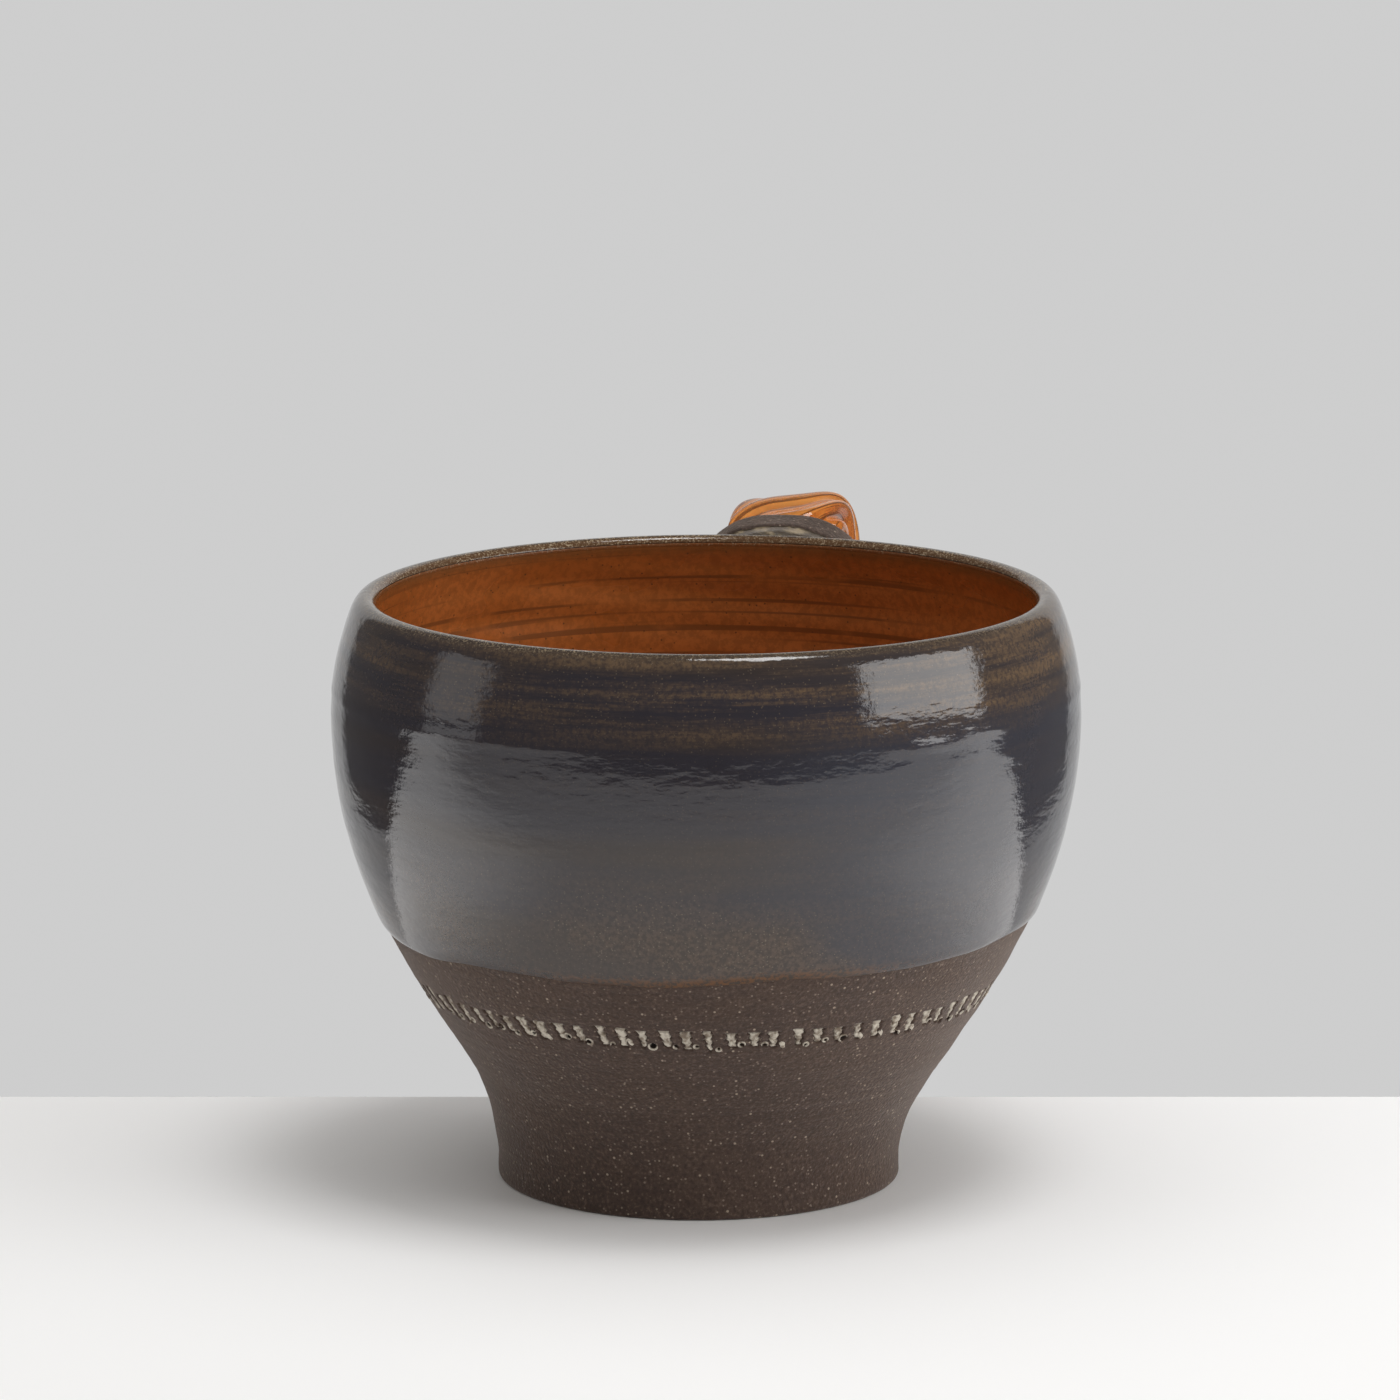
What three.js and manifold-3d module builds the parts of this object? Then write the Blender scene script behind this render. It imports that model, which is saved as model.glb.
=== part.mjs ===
// Wheel-thrown stoneware mug with a twisted glass handle. Millimetres, +Z up, the origin at the middle of
// the foot on the table, the handle towards +Y.
import * as THREE from "three";
import { mergeVertices } from "three/addons/utils/BufferGeometryUtils.js";
import Module from "manifold-3d";

const wasm = await Module();
wasm.setup();

// Clearances and resolution
const COAT_GAP = 0.05;
const SEAM_GAP = 0.1;
const FIT_GAP = 0.3;
const TURN_STEPS = 40;
const RING_STEPS = 24;
const GLASS_STEPS = 36;
const BOW_STEPS = 24;
const STEPS = { flare: 6, dish: 6, lowerWall: 8, shoulder: 4, lip: 3, well: 6, nose: 5 };

// Foot
const FOOT_RADIUS = 29.7;
const FOOT_BEVEL = 0.7;
const FOOT_UPRIGHT = 3;
const FOOT_SWELL = 1.1;
const FOOT_FLARE = 8.7;
const SEAM_RADIUS = 34.6;
const SEAM_HEIGHT = 17.5;
const SEAM_SLOPE = 0.627;
const SEAM_LEDGE = 4.6;
const FOOT_FLOOR = 7.4;

// Bowl, as bare clay
const BELLY_RADIUS = 54.6;
const BELLY_HEIGHT = 70;
const WALL_SWELL = 12.8;
const BELLY_SWELL = 25.4;
const SHOULDER_SWELL = 4.6;
const NECK_RADIUS = 51.7;
const NECK_HEIGHT = 85;
const NECK_SLOPE = -0.381;
const NECK_SWELL = 5.9;
const LIP_RADIUS = 49.8;
const LIP_RISE = 1.95;
const LIP_HEIGHT = NECK_HEIGHT + LIP_RISE;
const WALL = 3.6;
const LIP_WALL = 2.6;
const BOWL_FLOOR = 5;
const WELL_HEIGHT = 34;
const WELL_SWELL = 14;
const WELL_FLAT = 20;

// The foot stands a little to one side of the bowl, as it was luted on by hand
const LEAN = 1.2;
const LEAN_START = 5;
const LEAN_END = 20;

// Glazes
const GLAZE = 0.4;
const LIP_COVER = 0.6;
const DIP_HEIGHT = 39.6;
const DIP_TILT = 1.1;
const DIP_TURN = 126;

// Band of slip-filled chatter marks
const BAND_HEIGHT = 29.9;
const MARK_HEIGHT = 3.2;
const MARK_WIDTH = 1.1;
const MARK_PITCH = 3.2;
const MARK_SLANT = 12;
const MARK_DEPTH = 1.1;
const BACKING = 0.8;
const SLIP_SINK = 0.12;

// Handle sockets
const SOCKET_WIDTH = 24;
const SOCKET_THICKNESS = 15.6;
const SOCKET_WALL = 1.9;
const SOCKET_DEPTH = 5;
const SOCKET_NOSE = 5;
const SOCKET_FLOOR = 2;
const MOUTH_BEVEL = 0.6;
const UPPER_DROP = 6.45;
const UPPER_TILT = 15;
const LOWER_HEIGHT = 44;
const LOWER_TILT = 8;
const HANDLE_SKEW = 5.4;

// Glass handle and the cement around its ends
const CEMENT = 0.7;
const GLASS_WIDTH = 18.8;
const GLASS_THICKNESS = 13;
const GLASS_SQUARE = 4.2;
const GLASS_ROLL = 5.3;
const SHOULDER_LENGTH = 3;
const LOBES = 6;
const LOBE_DEPTH = 0.075;
const TWIST_PITCH = 56;
const TWIST_START = -35;
const FINGER_GAP = 24.6;
const HANDLE_MIDDLE = 64;
const UPPER_BOW = 14;
const OUTER_BOW_UP = 20;
const OUTER_BOW_DOWN = 15;
const LOWER_BOW = 14;

const radians = THREE.MathUtils.degToRad;
const point = (radius, height) => new THREE.Vector2(radius, height);

function bezier(start, startHandle, endHandle, end, steps) {
  return new THREE.CubicBezierCurve(start, startHandle, endHandle, end).getPoints(steps);
}

// Each point of an open outline moved sideways by a distance, to the right of the way it runs. A point on
// the axis stays on it.
function offset(outline, distance) {
  return outline.map((here, i) => {
    const before = outline[Math.max(i - 1, 0)];
    const after = outline[Math.min(i + 1, outline.length - 1)];
    const along = after.clone().sub(before).normalize();
    const radius = here.x === 0 ? 0 : here.x + along.y * distance;
    return point(radius, here.y - along.x * distance);
  });
}

// The outlines of the thrown clay, from the table up to the lip and down into the well
function slopeStep(slope, length) {
  return point(slope, 1).setLength(length);
}
const seam = point(SEAM_RADIUS, SEAM_HEIGHT);
const belly = point(BELLY_RADIUS, BELLY_HEIGHT);
const neck = point(NECK_RADIUS, NECK_HEIGHT);
const crest = point(LIP_RADIUS, LIP_HEIGHT);

const lowerWall = bezier(
  seam,
  seam.clone().add(slopeStep(SEAM_SLOPE, WALL_SWELL)),
  point(BELLY_RADIUS, BELLY_HEIGHT - BELLY_SWELL),
  belly,
  STEPS.lowerWall,
);
const shoulder = bezier(
  belly,
  point(BELLY_RADIUS, BELLY_HEIGHT + SHOULDER_SWELL),
  neck.clone().sub(slopeStep(NECK_SLOPE, NECK_SWELL)),
  neck,
  STEPS.shoulder,
);
const outerWall = [...lowerWall, ...shoulder.slice(1)];
const thinWall = offset(outerWall, -LIP_WALL);
// The wall thins from the belly up to the neck.
const innerWall = offset(outerWall, -WALL).map((p, i) => {
  const thinned = THREE.MathUtils.smoothstep(outerWall[i].y, BELLY_HEIGHT, NECK_HEIGHT);
  return p.lerp(thinWall[i], thinned);
});
const innerNeck = innerWall[innerWall.length - 1];

function onNeckLine(start) {
  return point(start.x + NECK_SLOPE * (LIP_HEIGHT - start.y), LIP_HEIGHT);
}
const outerLip = new THREE.QuadraticBezierCurve(neck, onNeckLine(neck), crest).getPoints(STEPS.lip);
const innerLip = new THREE.QuadraticBezierCurve(crest, onNeckLine(innerNeck), innerNeck).getPoints(STEPS.lip);

// The inside of the bowl follows its outside down to the well, then rounds to the middle of the floor.
const floorHeight = FOOT_FLOOR + SEAM_GAP + BOWL_FLOOR;
const innerSide = innerWall.filter((p) => p.y > WELL_HEIGHT).reverse();
const wellTop = innerSide[innerSide.length - 1];
const aboveWell = innerSide[innerSide.length - 2];
const well = bezier(
  wellTop,
  wellTop.clone().add(wellTop.clone().sub(aboveWell).setLength(WELL_SWELL)),
  point(WELL_FLAT, floorHeight),
  point(0, floorHeight),
  STEPS.well,
);
const inside = [...innerLip, ...innerSide.slice(1), ...well.slice(1)];
const outside = [...outerWall, ...outerLip.slice(1)];

// The bowl's underside, which the foot is dished to take
function dish(gap) {
  const radius = SEAM_RADIUS - SEAM_LEDGE + gap;
  const bottom = FOOT_FLOOR + SEAM_GAP - gap;
  const top = SEAM_HEIGHT - gap;
  return Array.from({ length: STEPS.dish + 1 }, (_, i) => {
    const turn = (i / STEPS.dish) * (Math.PI / 2);
    return point(radius * Math.sin(turn), top - (top - bottom) * Math.cos(turn));
  });
}

// Radius of the bare clay's outside at a height
function wallRadius(height) {
  const i = outside.findIndex((p) => p.y >= height);
  const [below, above] = [outside[i - 1], outside[i]];
  return THREE.MathUtils.mapLinear(height, below.y, above.y, below.x, above.x);
}

// The point on the inside of the lip at a depth below its crest
function insideLip(depth) {
  const level = LIP_HEIGHT - depth;
  const i = inside.findIndex((p) => p.y <= level);
  const [above, below] = [inside[i - 1], inside[i]];
  return point(THREE.MathUtils.mapLinear(level, above.y, below.y, above.x, below.x), level);
}

// A turned solid, leaning over the foot as every thrown piece of this mug does
function thrown(outline) {
  const geometry = new THREE.LatheGeometry(outline, TURN_STEPS);
  geometry.rotateX(Math.PI / 2);
  const place = geometry.attributes.position;
  for (let i = 0; i < place.count; i += 1) {
    const lean = LEAN * THREE.MathUtils.smoothstep(place.getZ(i), LEAN_START, LEAN_END);
    place.setX(i, place.getX(i) + lean);
  }
  return geometry;
}

function solid(geometry) {
  const bare = geometry.clone();
  bare.deleteAttribute("normal");
  bare.deleteAttribute("uv");
  const merged = mergeVertices(bare, 1e-4);
  const corners = merged.index.array;
  const triangles = [];
  for (let i = 0; i < corners.length; i += 3) {
    const [a, b, c] = [corners[i], corners[i + 1], corners[i + 2]];
    if (a !== b && b !== c && c !== a) triangles.push(a, b, c);
  }
  const mesh = new wasm.Mesh({
    numProp: 3,
    vertProperties: new Float32Array(merged.attributes.position.array),
    triVerts: new Uint32Array(triangles),
  });
  mesh.merge();
  return new wasm.Manifold(mesh);
}

function geometryOf(body) {
  const mesh = body.getMesh();
  const geometry = new THREE.BufferGeometry();
  geometry.setAttribute("position", new THREE.BufferAttribute(mesh.vertProperties, 3));
  geometry.setIndex(new THREE.BufferAttribute(mesh.triVerts, 1));
  geometry.computeVertexNormals();
  return geometry;
}

// A closed skin over rings of points that all have the same count
function loft(rings) {
  const count = rings[0].length;
  const middleOf = (ring) => ring.reduce((sum, p) => sum.add(p), new THREE.Vector3()).divideScalar(count);
  const points = [...rings.flat(), middleOf(rings[0]), middleOf(rings[rings.length - 1])];
  const lastRing = (rings.length - 1) * count;
  const firstMiddle = points.length - 2;
  const lastMiddle = points.length - 1;
  const triangles = [];
  for (let j = 0; j < count; j += 1) {
    const next = (j + 1) % count;
    for (let row = 0; row < lastRing; row += count) {
      triangles.push(row + j, row + count + next, row + next);
      triangles.push(row + j, row + count + j, row + count + next);
    }
    triangles.push(firstMiddle, j, next);
    triangles.push(lastMiddle, lastRing + next, lastRing + j);
  }
  const geometry = new THREE.BufferGeometry().setFromPoints(points);
  geometry.setIndex(triangles);
  geometry.computeVertexNormals();
  return geometry;
}

// Where a socket stands on the wall and the way it points, in (out, up), with how far along that way its
// floor and its mouth lie. The floor clears the wall over the whole height of the hollow.
function seat(height, tilt) {
  const wall = point(wallRadius(height), height);
  const way = point(Math.cos(radians(tilt)), Math.sin(radians(tilt)));
  const halfHollow = SOCKET_THICKNESS / 2 - SOCKET_WALL;
  const standOuts = [-1, -0.5, 0, 0.5, 1].map((share) => {
    const level = Math.min(height + share * halfHollow, LIP_HEIGHT);
    return point(wallRadius(level), level).sub(wall).dot(way);
  });
  const floor = Math.max(...standOuts) + SOCKET_FLOOR;
  return { wall, way, floor, mouth: floor + SOCKET_DEPTH };
}
const upperSeat = seat(LIP_HEIGHT - UPPER_DROP, UPPER_TILT);
const lowerSeat = seat(LOWER_HEIGHT, LOWER_TILT);
const along = (place, distance) => place.wall.clone().addScaledVector(place.way, distance);

// A point of the handle, given to its side, out from the bowl and up. The handle's plane stands a little
// askew, turned about an upright line between its seats.
function askew(side, out, up) {
  const pivot = point(0, (upperSeat.wall.x + lowerSeat.wall.x) / 2);
  const turned = point(side, out).rotateAround(pivot, radians(HANDLE_SKEW));
  return new THREE.Vector3(turned.x, turned.y, up);
}

// An oval across the handle: centre and way in (out, up), half sizes, and how far it is squared up, rolled,
// lobed and turned
function oval(centre, way, halfWidth, halfThickness, form = {}) {
  const { steps = RING_STEPS, square = 2, roll = 0, lobeDepth = 0, turn = 0 } = form;
  const squared = (share) => Math.sign(share) * Math.abs(share) ** (2 / square);
  return Array.from({ length: steps }, (_, i) => {
    const onRing = (i / steps) * Math.PI * 2;
    const angle = onRing + turn;
    const swell = 1 + lobeDepth * (Math.cos(LOBES * onRing) - 1);
    const across = point(squared(Math.cos(angle)) * halfWidth, squared(Math.sin(angle)) * halfThickness);
    across.multiplyScalar(swell).rotateAround(point(0, 0), roll);
    return askew(across.x, centre.x - way.y * across.y, centre.y + way.x * across.y);
  });
}

// The collar's outside: a rounded nose that beds on the wall and a straight mouth
function collar(place, grow) {
  const rings = [];
  for (let i = 1; i <= STEPS.nose; i += 1) {
    const turn = (i / STEPS.nose) * (Math.PI / 2);
    const size = Math.sin(turn);
    const centre = along(place, -SOCKET_NOSE * Math.cos(turn) - grow * (1 - size));
    rings.push(oval(centre, place.way, SOCKET_WIDTH / 2 * size + grow, SOCKET_THICKNESS / 2 * size + grow));
  }
  const straightEnd = along(place, place.mouth - MOUTH_BEVEL);
  rings.push(oval(straightEnd, place.way, SOCKET_WIDTH / 2 + grow, SOCKET_THICKNESS / 2 + grow));
  const mouth = along(place, place.mouth + grow);
  const inset = MOUTH_BEVEL - grow;
  rings.push(oval(mouth, place.way, SOCKET_WIDTH / 2 - inset, SOCKET_THICKNESS / 2 - inset));
  return solid(loft(rings));
}

// A straight oval plug along a socket, inset from the collar's outside
function plug(place, inset, from, to) {
  const halfWidth = SOCKET_WIDTH / 2 - inset;
  const halfThickness = SOCKET_THICKNESS / 2 - inset;
  const end = (distance) => oval(along(place, distance), place.way, halfWidth, halfThickness);
  return solid(loft([end(from), end(to)]));
}

const cementInset = SOCKET_WALL + FIT_GAP;
const tenonInset = cementInset + CEMENT + FIT_GAP;
const tenonRise = FIT_GAP + CEMENT + FIT_GAP;

// Everything that the bare bowl fills or closes off, a gap larger, to bed a collar on
function bowlBlock(gap) {
  const skin = offset(outside, gap);
  const top = skin[skin.length - 1];
  return solid(thrown([point(0, SEAM_HEIGHT), ...skin, point(0, top.y)]));
}

function socket(place) {
  const outer = collar(place, 0).subtract(bowlBlock(FIT_GAP).translate(-LEAN, 0, 0));
  return outer.subtract(plug(place, SOCKET_WALL, place.floor, place.mouth + SOCKET_WALL));
}

function cement(place) {
  const outer = plug(place, cementInset, place.floor + FIT_GAP, place.mouth);
  const hollowFloor = place.floor + FIT_GAP + CEMENT;
  return outer.subtract(plug(place, tenonInset - FIT_GAP, hollowFloor, place.mouth + SOCKET_WALL));
}

// The glass: a plain tenon in each socket and a twisted, lobed bow between them
function glassHandle() {
  const tenonWidth = SOCKET_WIDTH / 2 - tenonInset;
  const tenonThickness = SOCKET_THICKNESS / 2 - tenonInset;
  const start = along(upperSeat, upperSeat.mouth + FIT_GAP);
  const end = along(lowerSeat, lowerSeat.mouth + FIT_GAP);
  const reach = BELLY_RADIUS + COAT_GAP + GLAZE + FINGER_GAP + GLASS_THICKNESS / 2;
  const outermost = point(reach, HANDLE_MIDDLE);
  const upperBow = bezier(
    start,
    start.clone().addScaledVector(upperSeat.way, UPPER_BOW),
    point(reach, HANDLE_MIDDLE + OUTER_BOW_UP),
    outermost,
    BOW_STEPS,
  );
  const lowerBow = bezier(
    outermost,
    point(reach, HANDLE_MIDDLE - OUTER_BOW_DOWN),
    end.clone().addScaledVector(lowerSeat.way, LOWER_BOW),
    end,
    BOW_STEPS,
  );
  const spine = [...upperBow, ...lowerBow.slice(1)];
  const lengths = spine.map((p, i) => (i ? p.distanceTo(spine[i - 1]) : 0));
  const travelled = lengths.map((_, i) => lengths.slice(0, i + 1).reduce((sum, d) => sum + d, 0));
  const total = travelled[travelled.length - 1];

  const turnAt = (length) => -(length / TWIST_PITCH) * Math.PI * 2 - radians(TWIST_START);
  const rings = [];
  const addTenon = (centre, way, turn) => {
    rings.push(oval(centre, way, tenonWidth, tenonThickness, { steps: GLASS_STEPS, turn }));
  };
  addTenon(along(upperSeat, upperSeat.floor + tenonRise), upperSeat.way, turnAt(0));
  addTenon(start, upperSeat.way, turnAt(0));
  spine.forEach((centre, i) => {
    const ahead = spine[Math.min(i + 1, spine.length - 1)];
    const behind = spine[Math.max(i - 1, 0)];
    const way = ahead.clone().sub(behind).normalize();
    const toEnd = Math.min(travelled[i], total - travelled[i]);
    if (toEnd === 0) return;
    const grown = Math.sqrt(1 - (1 - Math.min(toEnd / SHOULDER_LENGTH, 1)) ** 2);
    const halfWidth = THREE.MathUtils.lerp(tenonWidth, GLASS_WIDTH / 2, grown);
    const halfThickness = THREE.MathUtils.lerp(tenonThickness, GLASS_THICKNESS / 2, grown);
    const twisted = {
      steps: GLASS_STEPS,
      square: THREE.MathUtils.lerp(2, GLASS_SQUARE, grown),
      roll: radians(GLASS_ROLL) * grown,
      lobeDepth: LOBE_DEPTH * grown,
      turn: turnAt(travelled[i]),
    };
    rings.push(oval(centre, way, halfWidth, halfThickness, twisted));
  });
  const inward = lowerSeat.way.clone().negate();
  addTenon(end, inward, turnAt(total));
  addTenon(along(lowerSeat, lowerSeat.floor + tenonRise), inward, turnAt(total));
  return solid(loft(rings));
}

// A ring with a slanting tooth for each mark, sheared to the slope of the wall. It reaches a gap further
// all round, and out to the given depth below the wall, or past the wall where that is below zero.
function markedRing(gap, sink) {
  const radius = wallRadius(BAND_HEIGHT);
  const half = MARK_HEIGHT / 2;
  const slope = (wallRadius(BAND_HEIGHT + half) - wallRadius(BAND_HEIGHT - half)) / MARK_HEIGHT;
  const marks = Math.round((2 * Math.PI * radius) / MARK_PITCH);
  const root = radius - MARK_DEPTH + gap;
  const tip = radius - sink;
  const halfAngle = (MARK_WIDTH / 2 + gap) / radius;
  const outline = [];
  for (let i = 0; i < marks; i += 1) {
    const middle = (i / marks) * Math.PI * 2;
    const onRing = (reach, turn) => outline.push(point(reach * Math.cos(turn), reach * Math.sin(turn)));
    onRing(root, middle - halfAngle);
    onRing(tip, middle - halfAngle);
    onRing(tip, middle + halfAngle);
    onRing(root, middle + halfAngle);
  }
  const shape = new THREE.Shape(outline);
  shape.holes.push(new THREE.Path().absarc(0, 0, radius - MARK_DEPTH - BACKING - gap, 0, Math.PI * 2, true));
  const height = MARK_HEIGHT + gap * 2;
  const ring = new THREE.ExtrudeGeometry(shape, { depth: height, bevelEnabled: false, curveSegments: marks });
  const place = ring.attributes.position;
  for (let i = 0; i < place.count; i += 1) {
    const rise = place.getZ(i) - height / 2;
    const reach = Math.hypot(place.getX(i), place.getY(i)) + slope * rise;
    const turn = Math.atan2(place.getY(i), place.getX(i)) - (Math.tan(radians(MARK_SLANT)) * rise) / radius;
    place.setXYZ(i, LEAN + reach * Math.cos(turn), reach * Math.sin(turn), BAND_HEIGHT + rise);
  }
  return solid(ring);
}

function bowl() {
  const closed = [...outside, ...inside.slice(1), ...dish(0)];
  closed.push(point(SEAM_RADIUS, SEAM_HEIGHT));
  return solid(thrown(closed)).subtract(markedRing(SEAM_GAP, -MARK_DEPTH));
}

function foot() {
  const top = point(SEAM_RADIUS, SEAM_HEIGHT - SEAM_GAP);
  const flare = bezier(
    point(FOOT_RADIUS, FOOT_UPRIGHT),
    point(FOOT_RADIUS, FOOT_UPRIGHT + FOOT_SWELL),
    top.clone().sub(slopeStep(SEAM_SLOPE, FOOT_FLARE)),
    top,
    STEPS.flare,
  );
  const base = [point(0, 0), point(FOOT_RADIUS - FOOT_BEVEL, 0), point(FOOT_RADIUS, FOOT_BEVEL)];
  return thrown([...base, ...flare, ...dish(SEAM_GAP).reverse()]);
}

// The dark coat: from the tilted dip line over the lip to just inside it, and open round the sockets
function outerGlaze() {
  const lowest = DIP_HEIGHT - BELLY_RADIUS * Math.tan(radians(DIP_TILT));
  const edge = insideLip(LIP_COVER);
  const overLip = [...inside.slice(1).filter((p) => p.y > edge.y), edge];
  const kept = [point(wallRadius(lowest), lowest), ...outside.filter((p) => p.y > lowest), ...overLip];
  const shell = [...offset(kept, COAT_GAP + GLAZE), ...offset(kept, COAT_GAP).reverse()];
  const coat = solid(thrown([...shell, shell[0]]));
  const span = BELLY_RADIUS * 4;
  const below = new THREE.BoxGeometry(span, span, span);
  below.translate(0, 0, -span / 2);
  below.rotateX(-radians(DIP_TILT));
  below.rotateZ(radians(DIP_TURN));
  below.translate(0, 0, DIP_HEIGHT);
  const collars = [upperSeat, lowerSeat].map((place) => collar(place, FIT_GAP).translate(LEAN, 0, 0));
  return wasm.Manifold.difference([coat, solid(below), ...collars]);
}

// The amber coat that lines the bowl
function linerGlaze() {
  const edge = insideLip(LIP_COVER + SEAM_GAP);
  const covered = [edge, ...inside.filter((p) => p.y < edge.y)];
  const near = offset(covered, COAT_GAP);
  const far = offset(covered, COAT_GAP + GLAZE);
  return thrown([...near.reverse(), ...far]);
}

const CLAY = { color: 0x4a3b35, roughness: 0.85 };
const DARK_GLAZE = { color: 0x3d3533, roughness: 0.15 };
const AMBER_GLAZE = { color: 0x61310f, roughness: 0.15 };
const SLIP = { color: 0xc9bda6, roughness: 0.8 };
const RESIN = { color: 0x8a6b4a, roughness: 0.4 };
const GLASS = { color: 0xd88a40, roughness: 0.06 };

function piece(name, shape, finish) {
  const geometry = shape.isBufferGeometry ? shape : geometryOf(shape);
  const mesh = new THREE.Mesh(geometry, new THREE.MeshStandardMaterial({ ...finish, metalness: 0 }));
  mesh.name = name;
  return mesh;
}

const mug = new THREE.Group();
mug.add(piece("foot", foot(), CLAY));
mug.add(piece("bowl", bowl(), CLAY));
mug.add(piece("outer_glaze", outerGlaze(), DARK_GLAZE));
mug.add(piece("liner_glaze", linerGlaze(), AMBER_GLAZE));
mug.add(piece("slip_inlay", markedRing(0, SLIP_SINK), SLIP));

const handle = new THREE.Group();
handle.position.x = LEAN;
handle.add(piece("upper_socket", socket(upperSeat), CLAY));
handle.add(piece("lower_socket", socket(lowerSeat), CLAY));
handle.add(piece("upper_cement", cement(upperSeat), RESIN));
handle.add(piece("lower_cement", cement(lowerSeat), RESIN));
handle.add(piece("glass_handle", glassHandle(), GLASS));
mug.add(handle);

export default mug;
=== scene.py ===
"""Looks of a wheel-thrown stoneware mug with a twisted glass handle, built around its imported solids.

Sizes are in millimetres and are the solids' own; points are handed to Blender in metres.
"""
import math

import bpy
import numpy as np
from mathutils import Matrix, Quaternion, Vector


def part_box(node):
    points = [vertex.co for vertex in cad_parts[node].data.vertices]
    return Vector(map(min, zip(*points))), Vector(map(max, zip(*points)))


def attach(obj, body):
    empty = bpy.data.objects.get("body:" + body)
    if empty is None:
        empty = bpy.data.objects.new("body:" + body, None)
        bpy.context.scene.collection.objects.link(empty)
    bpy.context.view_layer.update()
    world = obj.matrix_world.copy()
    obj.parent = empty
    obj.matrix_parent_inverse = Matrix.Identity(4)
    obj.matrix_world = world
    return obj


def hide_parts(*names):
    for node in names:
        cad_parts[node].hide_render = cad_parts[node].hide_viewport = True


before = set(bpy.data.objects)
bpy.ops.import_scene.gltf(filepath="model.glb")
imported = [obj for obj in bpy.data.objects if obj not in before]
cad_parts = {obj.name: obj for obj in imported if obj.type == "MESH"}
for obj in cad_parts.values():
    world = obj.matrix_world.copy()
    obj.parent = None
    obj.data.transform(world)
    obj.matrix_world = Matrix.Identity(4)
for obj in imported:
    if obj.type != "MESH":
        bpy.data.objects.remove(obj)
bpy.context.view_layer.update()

MM = 0.001
TURN = 2 * math.pi
SHARP_EDGE = math.radians(50)

# Read from the solids
bowl_low, bowl_high = (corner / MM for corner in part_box("bowl"))
band_low, band_high = (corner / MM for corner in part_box("slip_inlay"))
LEAN = (bowl_low.x + bowl_high.x) / 2
LIP_HEIGHT = bowl_high.z
BELLY_RADIUS = bowl_high.y
BAND_HEIGHT = (band_low.z + band_high.z) / 2

# Thrown clay
FOOT_RADIUS = 29.7
FOOT_BEVEL = 0.7
FOOT_UPRIGHT = 3.0
FOOT_SWELL = 1.1
FOOT_FLARE = 8.7
FOOT_FLOOR = 7.4
SEAM = np.array((34.6, 17.5))
SEAM_SLOPE = 0.627
SEAM_LEDGE = 4.6
SEAM_GAP = 0.1
BELLY = np.array((BELLY_RADIUS, 70.0))
WALL_SWELL = 12.8
BELLY_SWELL = 25.4
SHOULDER_SWELL = 4.6
NECK = np.array((51.7, 85.0))
NECK_SLOPE = -0.381
NECK_SWELL = 5.9
CREST = np.array((49.8, LIP_HEIGHT))
WALL = 3.6
LIP_WALL = 2.6
BOWL_FLOOR = 5.0
WELL_HEIGHT = 34.0
WELL_SWELL = 14.0
WELL_FLAT = 20.0
WIRE_START = (-46.0, -14.0)
WIRE_PITCH = 2.3
WIRE_STRAND = 0.9
WIRE_HOLLOW = 0.12
WIRE_DEPTHS = (0.07, 0.03)
LEAN_RANGE = (5.0, 20.0)
OUT_OF_ROUND = ((2, 0.16, 0.9), (3, 0.10, 2.4), (5, 0.04, 0.3))
RIM_TILT = 0.25

# Glazes
COAT_GAP = 0.05
GLAZE = 0.4
LIP_COVER = 0.6
DIP_HEIGHT = 39.6
DIP_REACH = 0.88
DIP_TILT = math.radians(1.1)
DIP_TURN = math.radians(126)
DIP_RUNS = ((7, 0.3, 1.52), (13, 0.1, 2.2), (23, 0.05, 0.0))
WASH_TURN = math.radians(-75)
BEAD_PLACE = 1.9
BEAD_SPREAD = 1.1
BEAD_RISE = 0.12
EDGE_TAPER = 1.6
LIP_TAPER = 0.15
DEEPEST_RING = -0.3

# Throwing marks on the shoulder: height, spread and rise, and the swings from the front where they fade
RIDGE = (73.9, 0.75, 0.08)
RIDGE_LEFT = (0.1, 0.45)
RIDGE_RIGHT = (0.66, 0.84)
GROOVE = (71.8, 1.6, -0.05)
LUMP = (73.1, 1.0, 0.2)
LUMP_SWING = 0.61
LUMP_SPREAD = 0.08

# Chatter marks
MARKS = 84
MARK_DEPTH = 0.5
SLIP_SINK = 0.07
SLIP_GAP = 0.04
SLIP_ROOT = 0.15
MARK_EDGE = (-0.22, 0.1)
PIT_EDGE = (-0.12, 0.12)
TEARS = ((0.13, 5, 0), (0.08, 11, 2))
PIT_DEPTH = 0.7

# Handle
SOCKET_WIDTH = 24.0
SOCKET_THICKNESS = 15.6
SOCKET_HALF = np.array((SOCKET_WIDTH, SOCKET_THICKNESS)) / 2
SOCKET_WALL = 1.9
SOCKET_DEPTH = 5.0
SOCKET_NOSE = 5.0
SOCKET_FLOOR = 2.0
SOCKET_FLARE = 0.03
SOCKET_STEP = 0.45
SOCKET_BARE = 2.2
COLLAR_DENTS = ((3, 0.16, 0.3), (7, 0.1, -0.5))
BED_STEP = 0.1
BED_STEPS = 160
BED_GAP = 0.12
UPPER_DROP = 6.45
UPPER_TILT = math.radians(15)
LOWER_HEIGHT = 44.0
LOWER_TILT = math.radians(8)
HANDLE_SKEW = math.radians(5.4)
FIT_GAP = 0.3
CEMENT = 0.7
CEMENT_SINK = 0.5
GLASS_WIDTH = 18.8
GLASS_THICKNESS = 13.0
GLASS_SQUARE = 4.2
GLASS_ROLL = math.radians(5.3)
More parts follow.
